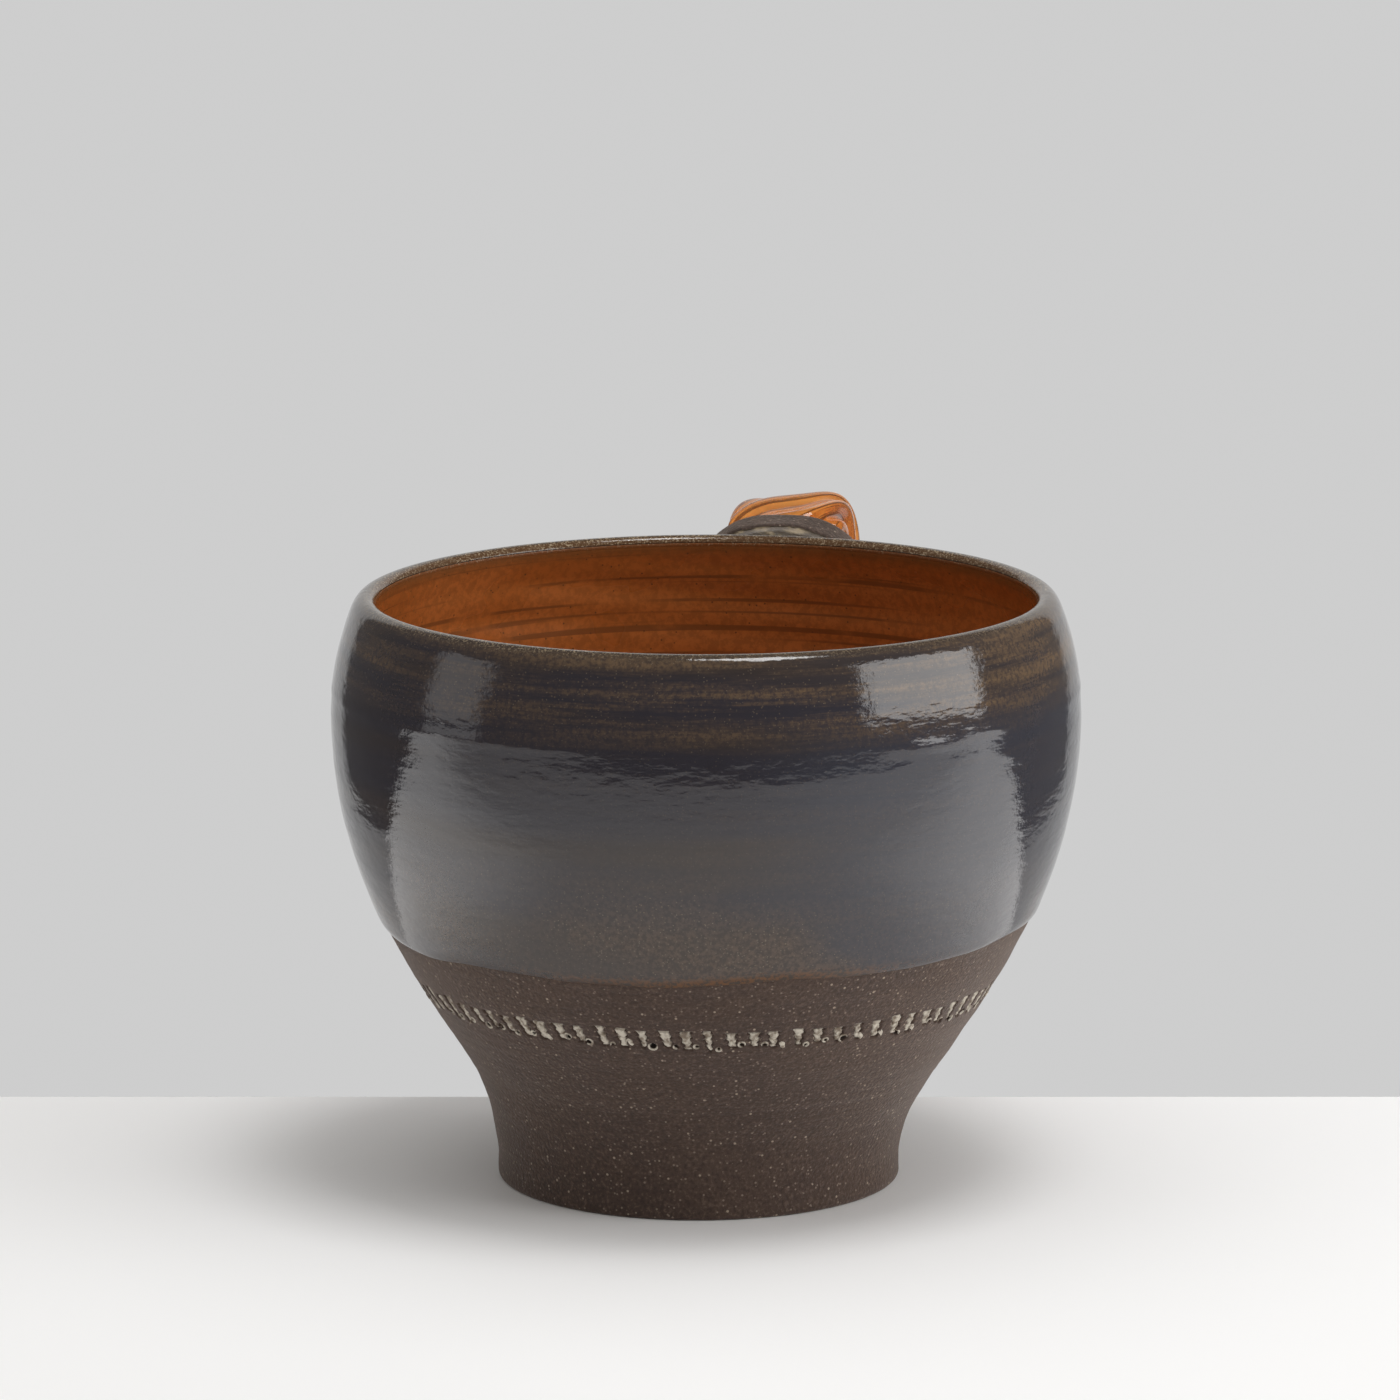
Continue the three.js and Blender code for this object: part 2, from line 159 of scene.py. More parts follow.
GLASS_SWELLS = ((1 / 9, 0.012, 0.0), (1 / 4.3, 0.008, 1.0))
SHOULDER_LENGTH = 3.0
LOBES = 6
LOBE_DEPTH = 0.075
TWIST_PITCH = 56.0
TWIST_START = math.radians(-35)
FINGER_GAP = 24.6
HANDLE_MIDDLE = 64.0
UPPER_BOW = 14.0
OUTER_BOW_UP = 20.0
OUTER_BOW_DOWN = 15.0
LOWER_BOW = 14.0

# Camera and stage, from the camera's side
CAMERA_TURN = math.radians(12.4)
CAMERA_ASIDE = 0.2
CAMERA_BACK = 1150.0
CAMERA_HEIGHT = 293.1
CAMERA_PITCH = math.radians(10.92)
PHOTO_SIDE_PX = 1400
FOCAL_PX = 7971
FRONT = CAMERA_TURN - math.pi / 2
TABLE_BACK = 46.0
TABLE_FRONT = -430.0
TABLE_HALF_WIDTH = 1500.0
BACKDROP_AWAY = 2000.0
BACKDROP_HALF_WIDTH = 1340.0
BACKDROP_LOW = -560.0
BACKDROP_HIGH = 1500.0
BACKDROP_GREY = 0.615
ROOM_GREY = 0.13


def smooth(value, low, high):
    share = np.clip((value - low) / (high - low), 0, 1)
    return share * share * (3 - 2 * share)


def join(*arrays):
    return np.concatenate(arrays)


def waves(table, along):
    """The sum of waves given as (count, depth, phase)."""
    return sum(depth * np.cos(count * along + phase) for count, depth, phase in table)


def rounded(share, least):
    """The rise of a round edge at a share of its width, which counts as no less than the least share."""
    return np.sqrt(1 - (1 - np.clip(share, least, 1)) ** 2)


def swing_from(start, angle):
    """The turn from a start to an angle, at most half a turn either way."""
    return (angle - start + math.pi) % TURN - math.pi


def bezier(points, steps):
    a, b, c, d = (np.asarray(p, float) for p in points)
    t = np.linspace(0, 1, steps + 1)[:, None]
    u = 1 - t
    return a * u**3 + 3 * b * t * u**2 + 3 * c * t**2 * u + d * t**3


def bow(start, middle, end, steps):
    t = np.linspace(0, 1, steps + 1)[:, None]
    return start * (1 - t) ** 2 + 2 * middle * t * (1 - t) + end * t**2


def slope_step(slope, length):
    way = np.array((slope, 1.0))
    return way * length / np.linalg.norm(way)


class Outline:
    """A line of (radius, height) points that is read by the length along it."""

    def __init__(self, points):
        points = np.asarray(points, float)
        apart = np.linalg.norm(np.diff(points, axis=0), axis=1) > 1e-6
        self.points = points[join([True], apart)]
        steps = np.linalg.norm(np.diff(self.points, axis=0), axis=1)
        self.lengths = join([0.0], np.cumsum(steps))
        self.total = self.lengths[-1]
        ways = np.gradient(self.points, self.lengths, axis=0)
        ways /= np.linalg.norm(ways, axis=1)[:, None]
        self.normals = np.stack((ways[:, 1], -ways[:, 0]), axis=1)

    def at(self, length, out=0.0):
        """Radius and height at a length, moved out along the surface's normal."""
        line = [np.interp(length, self.lengths, self.points[:, i]) for i in (0, 1)]
        normal = [np.interp(length, self.lengths, self.normals[:, i]) for i in (0, 1)]
        return line[0] + out * normal[0], line[1] + out * normal[1]

    def length_at(self, height):
        """The length at a height, on the way up to the line's highest point."""
        top = int(np.argmax(self.points[:, 1])) + 1
        return np.interp(height, self.points[:top, 1], self.lengths[:top])


def on_neck_line(start):
    return np.array((start[0] + NECK_SLOPE * (LIP_HEIGHT - start[1]), LIP_HEIGHT))


lower_wall = bezier((SEAM, SEAM + slope_step(SEAM_SLOPE, WALL_SWELL), BELLY - (0, BELLY_SWELL), BELLY), 80)
shoulder = bezier((BELLY, BELLY + (0, SHOULDER_SWELL), NECK - slope_step(NECK_SLOPE, NECK_SWELL), NECK), 40)
outer_wall = join(lower_wall, shoulder[1:])
outer_line = Outline(outer_wall)
thinned = smooth(outer_wall[:, 1], BELLY[1], NECK[1])
inner_wall = np.stack(outer_line.at(outer_line.lengths, -WALL + (WALL - LIP_WALL) * thinned), axis=1)
inner_neck = inner_wall[-1]
outer_lip = bow(NECK, on_neck_line(NECK), CREST, 12)
inner_lip = bow(CREST, on_neck_line(inner_neck), inner_neck, 12)
inner_side = inner_wall[inner_wall[:, 1] > WELL_HEIGHT][::-1]
well_way = inner_side[-1] - inner_side[-2]
well_way *= WELL_SWELL / np.linalg.norm(well_way)
FLOOR_HEIGHT = FOOT_FLOOR + SEAM_GAP + BOWL_FLOOR
well = bezier(
    (inner_side[-1], inner_side[-1] + well_way, (WELL_FLAT, FLOOR_HEIGHT), (0, FLOOR_HEIGHT)), 60
)
outside = join(outer_wall, outer_lip[1:])
inside = join(inner_lip, inner_side[1:], well[1:])


def wall_radius(height):
    return np.interp(height, outside[:, 1], outside[:, 0])


DISH_STEPS = 10


def dish():
    """The bowl's underside, from the axis out to the ledge that it stands on."""
    turn = np.linspace(0, math.pi / 2, DISH_STEPS + 1)
    deep = SEAM[1] - FOOT_FLOOR - SEAM_GAP
    return np.stack(((SEAM[0] - SEAM_LEDGE) * np.sin(turn), SEAM[1] - deep * np.cos(turn)), axis=1)


def thrown(radius, height, angle):
    """Points in metres of the turned clay, with the lean and the wobble that all its pieces share."""
    radius, height, angle = np.broadcast_arrays(radius, height, angle)
    full = smooth(height, SEAM[1], BELLY[1])
    reach = radius * (1 + full * waves(OUT_OF_ROUND, angle) / BELLY_RADIUS)
    lean = LEAN * smooth(height, *LEAN_RANGE)
    rise = RIM_TILT * full * radius / BELLY_RADIUS * np.cos(angle - CAMERA_TURN)
    return np.stack((lean + reach * np.cos(angle), reach * np.sin(angle), height + rise), axis=-1) * MM


def round_angles(count):
    return np.arange(count) * TURN / count


def ripples(length, angle, rings, seed):
    """Rings left by fingers and tools, as waves of (spacing, depth) that wind up the pot."""
    rng = np.random.default_rng(seed)
    total = np.zeros(np.broadcast_shapes(np.shape(length), np.shape(angle)))
    for spacing, depth in rings:
        phase, sway_phase, fade_phase = rng.uniform(0, TURN, 3)
        fades = rng.integers(1, 4)
        sway = 0.3 * np.cos(2 * angle + sway_phase) + 0.15 * np.cos(3 * angle + phase)
        strength = 0.65 + 0.35 * np.cos(fades * angle + fade_phase)
        turns = length / spacing + sway + angle / TURN
        total = total + depth * strength * np.cos(TURN * turns + phase)
    return total


def put(name, data):
    """A new object in the scene."""
    made = bpy.data.objects.new(name, data)
    bpy.context.scene.collection.objects.link(made)
    return made


def mesh_object(name, points, faces, attributes):
    mesh = bpy.data.meshes.new(name)
    mesh.from_pydata(points.tolist(), [], faces)
    mesh.validate()
    for key, values in attributes.items():
        vector = values.ndim == 2
        layer = mesh.attributes.new(key, "FLOAT_VECTOR" if vector else "FLOAT", "POINT")
        layer.data.foreach_set("vector" if vector else "value", values.astype(np.float32).ravel())
    mesh.shade_smooth()
    mesh.set_sharp_from_angle(angle=SHARP_EDGE)
    return put(name, mesh)


def quads(a, b, c, d):
    return np.stack((a, b, c, d), axis=-1).reshape(-1, 4)


def skin(name, grid, **attributes):
    """A closed body from rings of points [ring, column], with a fan over each end."""
    rows, columns = grid.shape[:2]
    number = np.arange(rows * columns).reshape(rows, columns)
    beside = np.roll(number, -1, axis=1)
    faces = quads(number[:-1], beside[:-1], beside[1:], number[1:]).tolist()
    first, last = rows * columns, rows * columns + 1
    faces += [(first, b, a) for a, b in zip(number[0].tolist(), beside[0].tolist())]
    faces += [(last, a, b) for a, b in zip(number[-1].tolist(), beside[-1].tolist())]
    middles = np.stack((grid[0].mean(axis=0), grid[-1].mean(axis=0)))
    points = join(grid.reshape(-1, 3), middles)
    values = {}
    for key, value in attributes.items():
        ends = np.stack((value[0].mean(axis=0), value[-1].mean(axis=0)))
        values[key] = join(value.reshape(rows * columns, *value.shape[2:]), ends)
    return mesh_object(name, points, faces, values)


def coat(name, outer, inner, keep, **attributes):
    """A closed layer between two grids of points [row, column] that wrap round, of the kept cells."""
    rows, columns = outer.shape[:2]
    count = rows * columns
    number = np.arange(count).reshape(rows, columns)
    beside = np.roll(number, -1, axis=1)
    a, b, c, d = number[:-1], beside[:-1], beside[1:], number[1:]
    none = np.zeros((1, columns), bool)
    under = keep & ~join(none, keep[:-1])
    over = keep & ~join(keep[1:], none)
    left = keep & ~np.roll(keep, 1, axis=1)
    right = keep & ~np.roll(keep, -1, axis=1)
    faces = [quads(a[keep], b[keep], c[keep], d[keep])]
    faces.append(quads(d[keep], c[keep], b[keep], a[keep]) + count)
    for border, start, end in ((under, b, a), (over, d, c), (left, a, d), (right, c, b)):
        near, far = start[border], end[border]
        faces.append(quads(near, far, far + count, near + count))
    faces = join(*faces)
    used, packed = np.unique(faces, return_inverse=True)
    points = join(outer.reshape(-1, 3), inner.reshape(-1, 3))[used]
    values = {}
    for key, value in attributes.items():
        flat = value.reshape(count, *value.shape[2:])
        values[key] = join(flat, flat)[used]
    return mesh_object(name, points, packed.reshape(-1, 4).tolist(), values)


def spin(length, angle):
    """Coordinates that follow the wheel's turning: round at the belly's radius, and along the outline."""
    length, angle = np.broadcast_arrays(length, angle)
    around = np.stack((np.cos(angle), np.sin(angle)), axis=-1) * BELLY_RADIUS
    return np.concatenate((around, length[..., None]), axis=-1) * MM


# The chatter marks: each is wide at its upper left, runs down to the right, and most drag up a pit beside it
draw = np.random.default_rng(11)
mark_angle = (np.arange(MARKS) + draw.uniform(-0.07, 0.07, MARKS)) * TURN / MARKS
mark_shift = draw.uniform(-0.2, 0.2, MARKS)
mark_half = draw.uniform(1.3, 1.95, MARKS)
mark_top = np.stack((draw.uniform(-1.05, -0.55, MARKS), draw.uniform(0.35, 0.85, MARKS)), axis=1)
mark_foot = np.stack((draw.uniform(-0.25, 0.2, MARKS), draw.uniform(0.5, 0.95, MARKS)), axis=1)
mark_phase = draw.uniform(0, TURN, (MARKS, 4))
pit_radius = np.where(draw.random(MARKS) < 0.8, draw.uniform(0.26, 0.55, MARKS), 0.0)
pit_side = draw.uniform(1.2, 1.6, MARKS)
pit_rise = draw.uniform(-1.8, -0.7, MARKS)


def mark_sides(mark, rise):
    """Left and right edge of a mark at a rise above its middle, with the tool's tear in them."""
    share = np.clip(rise / mark_half[mark] / 2 + 0.5, 0, 1)
    sides = []
    for side in (0, 1):
        straight = mark_foot[mark, side] * (1 - share) + mark_top[mark, side] * share
        tears = (depth * np.sin(rate * rise + mark_phase[mark, side + skip]) for depth, rate, skip in TEARS)
        sides.append(straight + sum(tears))
    return sides


bowl_line = Outline(join(dish(), outside, inside[1:]))
outside_lengths = bowl_line.lengths[DISH_STEPS + 1:][:len(outside)]
BAND_LENGTH = float(outside_lengths[np.argmin(np.abs(outside[:, 1] - BAND_HEIGHT))])
band_radius = float(wall_radius(BAND_HEIGHT))
TURNED_LINES = ((1.1, 0.006), (2.3, 0.012), (7.5, 0.05))


def band_relief(length, angle):
    """How far the chatter marks and their pits sink the clay, and which share of it is a pit."""
    mark = np.rint(angle / TURN * MARKS).astype(int) % MARKS
    sunk = np.zeros(np.broadcast_shapes(length.shape, angle.shape))
    pitted = np.zeros_like(sunk)
    for near in (mark - 1, mark):
        near = near % MARKS
        across = swing_from(mark_angle[near], angle) * band_radius
        rise = length - BAND_LENGTH - mark_shift[near]
        left, right = mark_sides(near, rise)
        room = np.minimum(np.minimum(across - left, right - across), mark_half[near] - np.abs(rise))
        sunk = np.maximum(sunk, MARK_DEPTH * smooth(room, *MARK_EDGE))
        reach = np.hypot(across - pit_side[near], rise - pit_rise[near])
        hole = np.where(pit_radius[near] > 0, smooth(pit_radius[near] - reach, *PIT_EDGE), 0)
        pitted = np.maximum(pitted, hole)
    return np.maximum(sunk, PIT_DEPTH * pitted), pitted


def thrown_bowl():
    """The bowl, in rows of points that lie closest together on the chatter band."""
    angle = round_angles(MARKS * 14)
    fine = np.arange(BAND_LENGTH - 3.0, BAND_LENGTH + 2.7, 0.16)
    seam, crest = outside_lengths[0], outside_lengths[-1]
    below = np.arange(seam, fine[0], 0.45)
    above = np.arange(fine[-1] + 0.3, fine[-1] + 14, 0.5)
    hidden = np.linspace(above[-1] + 1.5, crest - 3, 16)
    lip = np.linspace(crest - 2.2, crest + 3, 10)
    inner = np.linspace(crest + 5, bowl_line.total - 0.6, 24)
    under = np.linspace(0.6, bowl_line.lengths[DISH_STEPS], 8)
    length = join(under, below, fine, above, hidden, lip, inner)[:, None]
    sunk, pitted = band_relief(length, angle)
    shown = smooth(length, seam, seam + 0.5) * (1 - smooth(length, above[-1], above[-1] + 3))
    relief = ripples(length, angle, TURNED_LINES, 5) * shown - sunk
    radius, height = bowl_line.at(length, relief)
    return skin("thrown_bowl", thrown(radius, height, angle), spin=spin(length, angle), pit=pitted)


def thrown_foot():
    """The foot: its flat base with wire marks, its bevel and flare, and the dish that takes the bowl."""
    upright = np.array((FOOT_RADIUS, FOOT_UPRIGHT))
    flare = bezier((upright, upright + (0, FOOT_SWELL), SEAM - slope_step(SEAM_SLOPE, FOOT_FLARE), SEAM), 40)
    corner = FOOT_RADIUS - FOOT_BEVEL
    bevel = bow(np.array((corner, 0.0)), np.array((FOOT_RADIUS, 0.0)), np.array((FOOT_RADIUS, FOOT_BEVEL)), 6)
    line = Outline(join([(0.0, 0.0)], bevel, flare, dish()[::-1]))
    rise = line.length_at(SEAM[1] - 1e-3)
    angle = round_angles(420)
    base = np.linspace(0.5, corner - 0.4, 60)
    wall = np.linspace(corner, rise, 90)
    top = np.linspace(rise + 1, line.total - 0.6, 14)
    length = join(base, wall, top)[:, None]
    shown = smooth(length, corner + 0.8, corner + 1.6) * (1 - smooth(length, rise - 0.5, rise))
    relief = ripples(length, angle, TURNED_LINES, 6) * shown
    radius, height = line.at(length, relief)
    under = 1 - smooth(length, corner - 3.5, corner - 1.2)
    height = height + under * wire_cut(radius * np.cos(angle), radius * np.sin(angle))
    return skin("thrown_foot", thrown(radius, height, angle), spin=spin(length, angle), pit=0 * height)


def wire_cut(x, y):
    """The curved ridges that a twisted wire leaves under a pot, as a height above the table."""
    reach = np.hypot(x - WIRE_START[0], y - WIRE_START[1] + 0.06 * x)
    ridge = np.cos(TURN * (reach / WIRE_PITCH + 0.25 * np.sin(y / 9)))
    return WIRE_HOLLOW + WIRE_DEPTHS[0] * ridge + WIRE_DEPTHS[1] * np.cos(TURN * reach / WIRE_STRAND)


def dip_height(angle):
    """The lower edge of the dark glaze: a tilted dip with the small runs that drying leaves."""
    tilted = BELLY_RADIUS * DIP_REACH * math.tan(DIP_TILT) * np.cos(angle + math.pi / 2 - DIP_TURN)
    return DIP_HEIGHT + tilted + waves(DIP_RUNS, angle)


class Seat:
    """Where a socket stands on the wall, the way it points and how far out its floor and its mouth lie."""

    def __init__(self, height, tilt):
        self.wall = np.array((float(wall_radius(height)), height))
        self.way = np.array((math.cos(tilt), math.sin(tilt)))
        self.up = np.array((-math.sin(tilt), math.cos(tilt)))
        half_hollow = SOCKET_HALF[1] - SOCKET_WALL
        levels = np.minimum(height + half_hollow * np.linspace(-1, 1, 5), LIP_HEIGHT)
        stand_outs = (np.stack((wall_radius(levels), levels), axis=1) - self.wall) @ self.way
        self.floor = stand_outs.max() + SOCKET_FLOOR
        self.mouth = self.floor + SOCKET_DEPTH

    def along(self, distance):
        return self.wall + self.way * distance


UPPER = Seat(LIP_HEIGHT - UPPER_DROP, UPPER_TILT)
LOWER = Seat(LOWER_HEIGHT, LOWER_TILT)
HANDLE_PIVOT = (UPPER.wall[0] + LOWER.wall[0]) / 2

GLAZE_RINGS = ((4.2, 0.008), (7.6, 0.014), (2.4, 0.003), (17.0, 0.03))


def inside_lip(depth):
    """The part of the inside above a depth below the crest."""
    level = LIP_HEIGHT - depth
    edge = np.interp(-level, -inside[:, 1], inside[:, 0])
    return join(inside[inside[:, 1] > level], [(edge, level)])


def under_collar(points):
    """Which points of the wall lie well inside a socket's outline."""
    x = points[..., 0] / MM - LEAN
    y = points[..., 1] / MM - HANDLE_PIVOT
    side = x * math.cos(HANDLE_SKEW) + y * math.sin(HANDLE_SKEW)
    found = np.zeros(side.shape, bool)
    for seat in (UPPER, LOWER):
        out = HANDLE_PIVOT + y * math.cos(HANDLE_SKEW) - x * math.sin(HANDLE_SKEW) - seat.wall[0]
        rise = points[..., 2] / MM - seat.wall[1]
        ahead = out * seat.way[0] + rise * seat.way[1]
        lift = out * seat.up[0] + rise * seat.up[1]
        oval = np.hypot(side / (SOCKET_HALF[0] - 1), lift / (SOCKET_HALF[1] - 1))
        found |= (oval < 1) & (ahead > -SOCKET_NOSE)
    return found


def shoulder_marks(line, length, angle):
    """Throwing marks on the shoulder: a ridge that dies out at the front, a groove and a low lump."""
    swing = swing_from(FRONT, angle)
    raised = np.where(swing < 0, smooth(-swing, *RIDGE_LEFT), smooth(swing, *RIDGE_RIGHT))
    swollen = np.exp(-(((swing - LUMP_SWING) / LUMP_SPREAD) ** 2))

    def ring(height, spread, rise):
        return rise * np.exp(-(((length - line.length_at(height)) / spread) ** 2))

    return ring(*RIDGE) * raised + ring(*GROOVE) + ring(*LUMP) * swollen


def dark_glaze():
    """The dark coat, in rows of points that lie closest together at its lower edge."""
    line = Outline(join(outside, inside_lip(LIP_COVER)[1:]))
    crest = line.lengths[len(outside) - 1]
    angle = round_angles(400)
    start = line.length_at(dip_height(angle))
    near = np.array((0, 0.04, 0.12, 0.25, 0.45, 0.75, 1.1, 1.5, 2.0, 2.6))[:, None]
    share = np.linspace(0, 1, 150)[1:, None]
    length = join(start + near, start + near[-1] + (line.total - start - near[-1]) * share)
    from_edge = length - start
    bead = 1 + BEAD_RISE * np.exp(-(((from_edge - BEAD_PLACE) / BEAD_SPREAD) ** 2))
    tapered = rounded(from_edge / EDGE_TAPER, 0.01) * rounded((line.total - length) / LIP_TAPER, 0.5)
    shown = smooth(from_edge, 1, 5) * (1 - 0.7 * smooth(length, crest - 7, crest - 3))
    shown = shown * (1 - smooth(length, crest - 2, crest))
    rings = ripples(length, angle, GLAZE_RINGS, 21) + shoulder_marks(line, length, angle)
    thick = GLAZE * bead * tapered + np.maximum(rings * shown, DEEPEST_RING)
    inner = thrown(*line.at(length, COAT_GAP), angle)
    outer = thrown(*line.at(length, COAT_GAP + thick), angle)
    washed = (0.5 + 0.5 * np.cos(3 * (angle - WASH_TURN))) ** 1.5 * (1 - smooth(from_edge, 0.8, 2.4))
    covered = under_collar(inner)
    corners = covered[:-1] & covered[1:]
    keep = ~(corners & np.roll(corners, -1, axis=1))
    values = {"spin": spin(length, angle), "from_edge": from_edge, "past_crest": length - crest}
    return coat("dark_glaze_coat", outer, inner, keep, **values, wash=washed)


LINER_RINGS = ((5.5, 0.09), (9.0, 0.13), (2.6, 0.02))


def amber_glaze():
    """The liner's coat, from just inside the lip to the middle of the floor."""
    lip = inside_lip(LIP_COVER + SEAM_GAP)[-1]
    line = Outline(join(lip[None], inside[inside[:, 1] < lip[1]]))
    angle = round_angles(320)
    length = join(np.linspace(0, 2, 8), np.linspace(2.4, line.total - 0.5, 150))[:, None]
    middle = 1 - smooth(length, line.total - 14, line.total - 4)
    rings = ripples(length, angle, LINER_RINGS, 31) * smooth(length, 1, 5) * middle
    thick = GLAZE * rounded(length / LIP_TAPER, 0.5) + np.maximum(rings, DEEPEST_RING)
    outer = thrown(*line.at(length, COAT_GAP + thick), angle)
    inner = thrown(*line.at(length, COAT_GAP), angle)
    grid = join(inner[::-1], outer)
    lengths = join(length[::-1], length)
    return skin("amber_glaze_coat", grid, spin=spin(lengths, angle))


def on_band(across, rise, out, angle):
    """Points in metres on the band, from millimetres across, up and out of the wall at an angle."""
    radius, height = bowl_line.at(BAND_LENGTH + rise, out)
    return thrown(radius, height, angle + across / band_radius)


def closed_patch(top, bottom):
    """Points and faces of a closed pad between two grids of points that don't wrap round."""
    rows, columns = top.shape[:2]
    count = rows * columns
    number = np.arange(count).reshape(rows, columns)
    a, b, c, d = number[:-1, :-1], number[:-1, 1:], number[1:, 1:], number[1:, :-1]
    faces = [quads(a, b, c, d), quads(d, c, b, a) + count]
    for rim in (number[0, ::-1], number[-1], number[:, 0], number[::-1, -1]):
        near, far = rim[:-1], rim[1:]
        faces.append(quads(near, far, far + count, near + count))
    return join(top.reshape(-1, 3), bottom.reshape(-1, 3)), join(*faces)


def slip_on_band(mark, across, rise, top, root):
    """A closed pad of slip beside or in a mark, from its root in the clay to its top."""
    angle = mark_angle[mark]
    rise = rise + mark_shift[mark]
    return closed_patch(on_band(across, rise, top, angle), on_band(across, rise, root + 0 * top, angle))


def slip_pad(mark):
    """The cream slip left in one mark, worn low at its edges."""
    half = mark_half[mark] - 0.06
    rise = np.linspace(-half, half, 17)[:, None]
    share = np.linspace(0, 1, 11)[None]
    left, right = mark_sides(mark, rise)
    across = left + 0.05 + (right - left - 0.1) * share
    inset = np.minimum(np.minimum(share, 1 - share) * (right - left), half - np.abs(rise))
    grain = 0.03 * np.sin(7 * across + mark_phase[mark, 0]) * np.cos(5 * rise + mark_phase[mark, 1])
    top = grain - SLIP_SINK - 0.16 * (1 - smooth(inset, 0, 0.2))
    return slip_on_band(mark, across, rise + 0 * share, top, SLIP_GAP - MARK_DEPTH)


def slip_crumb(mark):
    """A broken ring of slip round the pit beside a mark."""
    sweep = 2.6 + 3.4 * (0.5 + 0.5 * math.sin(mark_phase[mark, 2]))
    turn = np.linspace(0, sweep, 15)[:, None] + mark_phase[mark, 3]
    band = np.linspace(-1, 1, 5)[None]
    width = 0.16 * np.sqrt(np.maximum(1 - np.linspace(-1, 1, 15) ** 2, 0.05))[:, None]
    reach = pit_radius[mark] + 0.1 - band * width
    across = pit_side[mark] + reach * np.cos(turn)
    rise = pit_rise[mark] + reach * np.sin(turn)
    top = 0.07 * (1 - band**2) + 0 * turn
    return slip_on_band(mark, across, rise, top, -SLIP_ROOT)


def slip_dab(mark):
    """A dab of slip below a mark that has dragged up no pit."""
    along = np.linspace(-1, 1, 9)[:, None]
    half = 0.42 * np.sqrt(1.02 - along**2) * (1 + 0.2 * np.sin(4 * along + mark_phase[mark, 0]))
    share = np.linspace(-1, 1, 7)[None]
    across = pit_side[mark] - 0.2 + half * share - 0.2 * along
    rise = pit_rise[mark] + 0.65 * along + 0 * share
    top = 0.06 * (1 - share**2) + 0 * along
    return slip_on_band(mark, across, rise, top, -SLIP_ROOT)


def slip_marks():
    pads = [slip_pad(mark) for mark in range(MARKS)]
    pads += [slip_crumb(mark) if pit_radius[mark] > 0 else slip_dab(mark) for mark in range(MARKS)]
    starts = np.cumsum([0] + [len(points) for points, _ in pads[:-1]])
    points = join(*(points for points, _ in pads))
    faces = join(*(corners + start for (_, corners), start in zip(pads, starts)))
    return mesh_object("slip_marks", points, faces.tolist(), {})


def skewed(side, out, rise):
    """Points in millimetres of the handle, whose plane stands a little askew to the bowl."""
    ahead = out - HANDLE_PIVOT
    x = LEAN + side * math.cos(HANDLE_SKEW) - ahead * math.sin(HANDLE_SKEW)
    y = HANDLE_PIVOT + side * math.sin(HANDLE_SKEW) + ahead * math.cos(HANDLE_SKEW)
    return np.stack((x, y, rise), axis=-1)


def oval_ring(centre, up, halves, angle, square=2.0, roll=0.0):
    """A ring of points in millimetres across the handle, from its half sizes, squared and rolled."""
    shares = (np.cos(angle), -np.sin(angle))
    across, lift = (np.sign(share) * np.abs(share) ** (2 / square) for share in shares)
    across, lift = across * halves[0], lift * halves[1]
    side = across * math.cos(roll) - lift * math.sin(roll)
    lift = across * math.sin(roll) + lift * math.cos(roll)
    return skewed(side, centre[0] + up[0] * lift, centre[1] + up[1] * lift)


def bed_on_wall(points, way):
    """Points that would lie in the bowl, moved along a socket's way until they meet its wall."""
    moved = points.copy()
    step = BED_STEP * np.array((-way[0] * math.sin(HANDLE_SKEW), way[0] * math.cos(HANDLE_SKEW), way[1]))
    for _ in range(BED_STEPS):
        reach = np.hypot(moved[..., 0] - LEAN, moved[..., 1])
        deep = (reach < wall_radius(moved[..., 2]) + BED_GAP) & (moved[..., 2] < LIP_HEIGHT)
        moved += deep[..., None] * step
    return moved


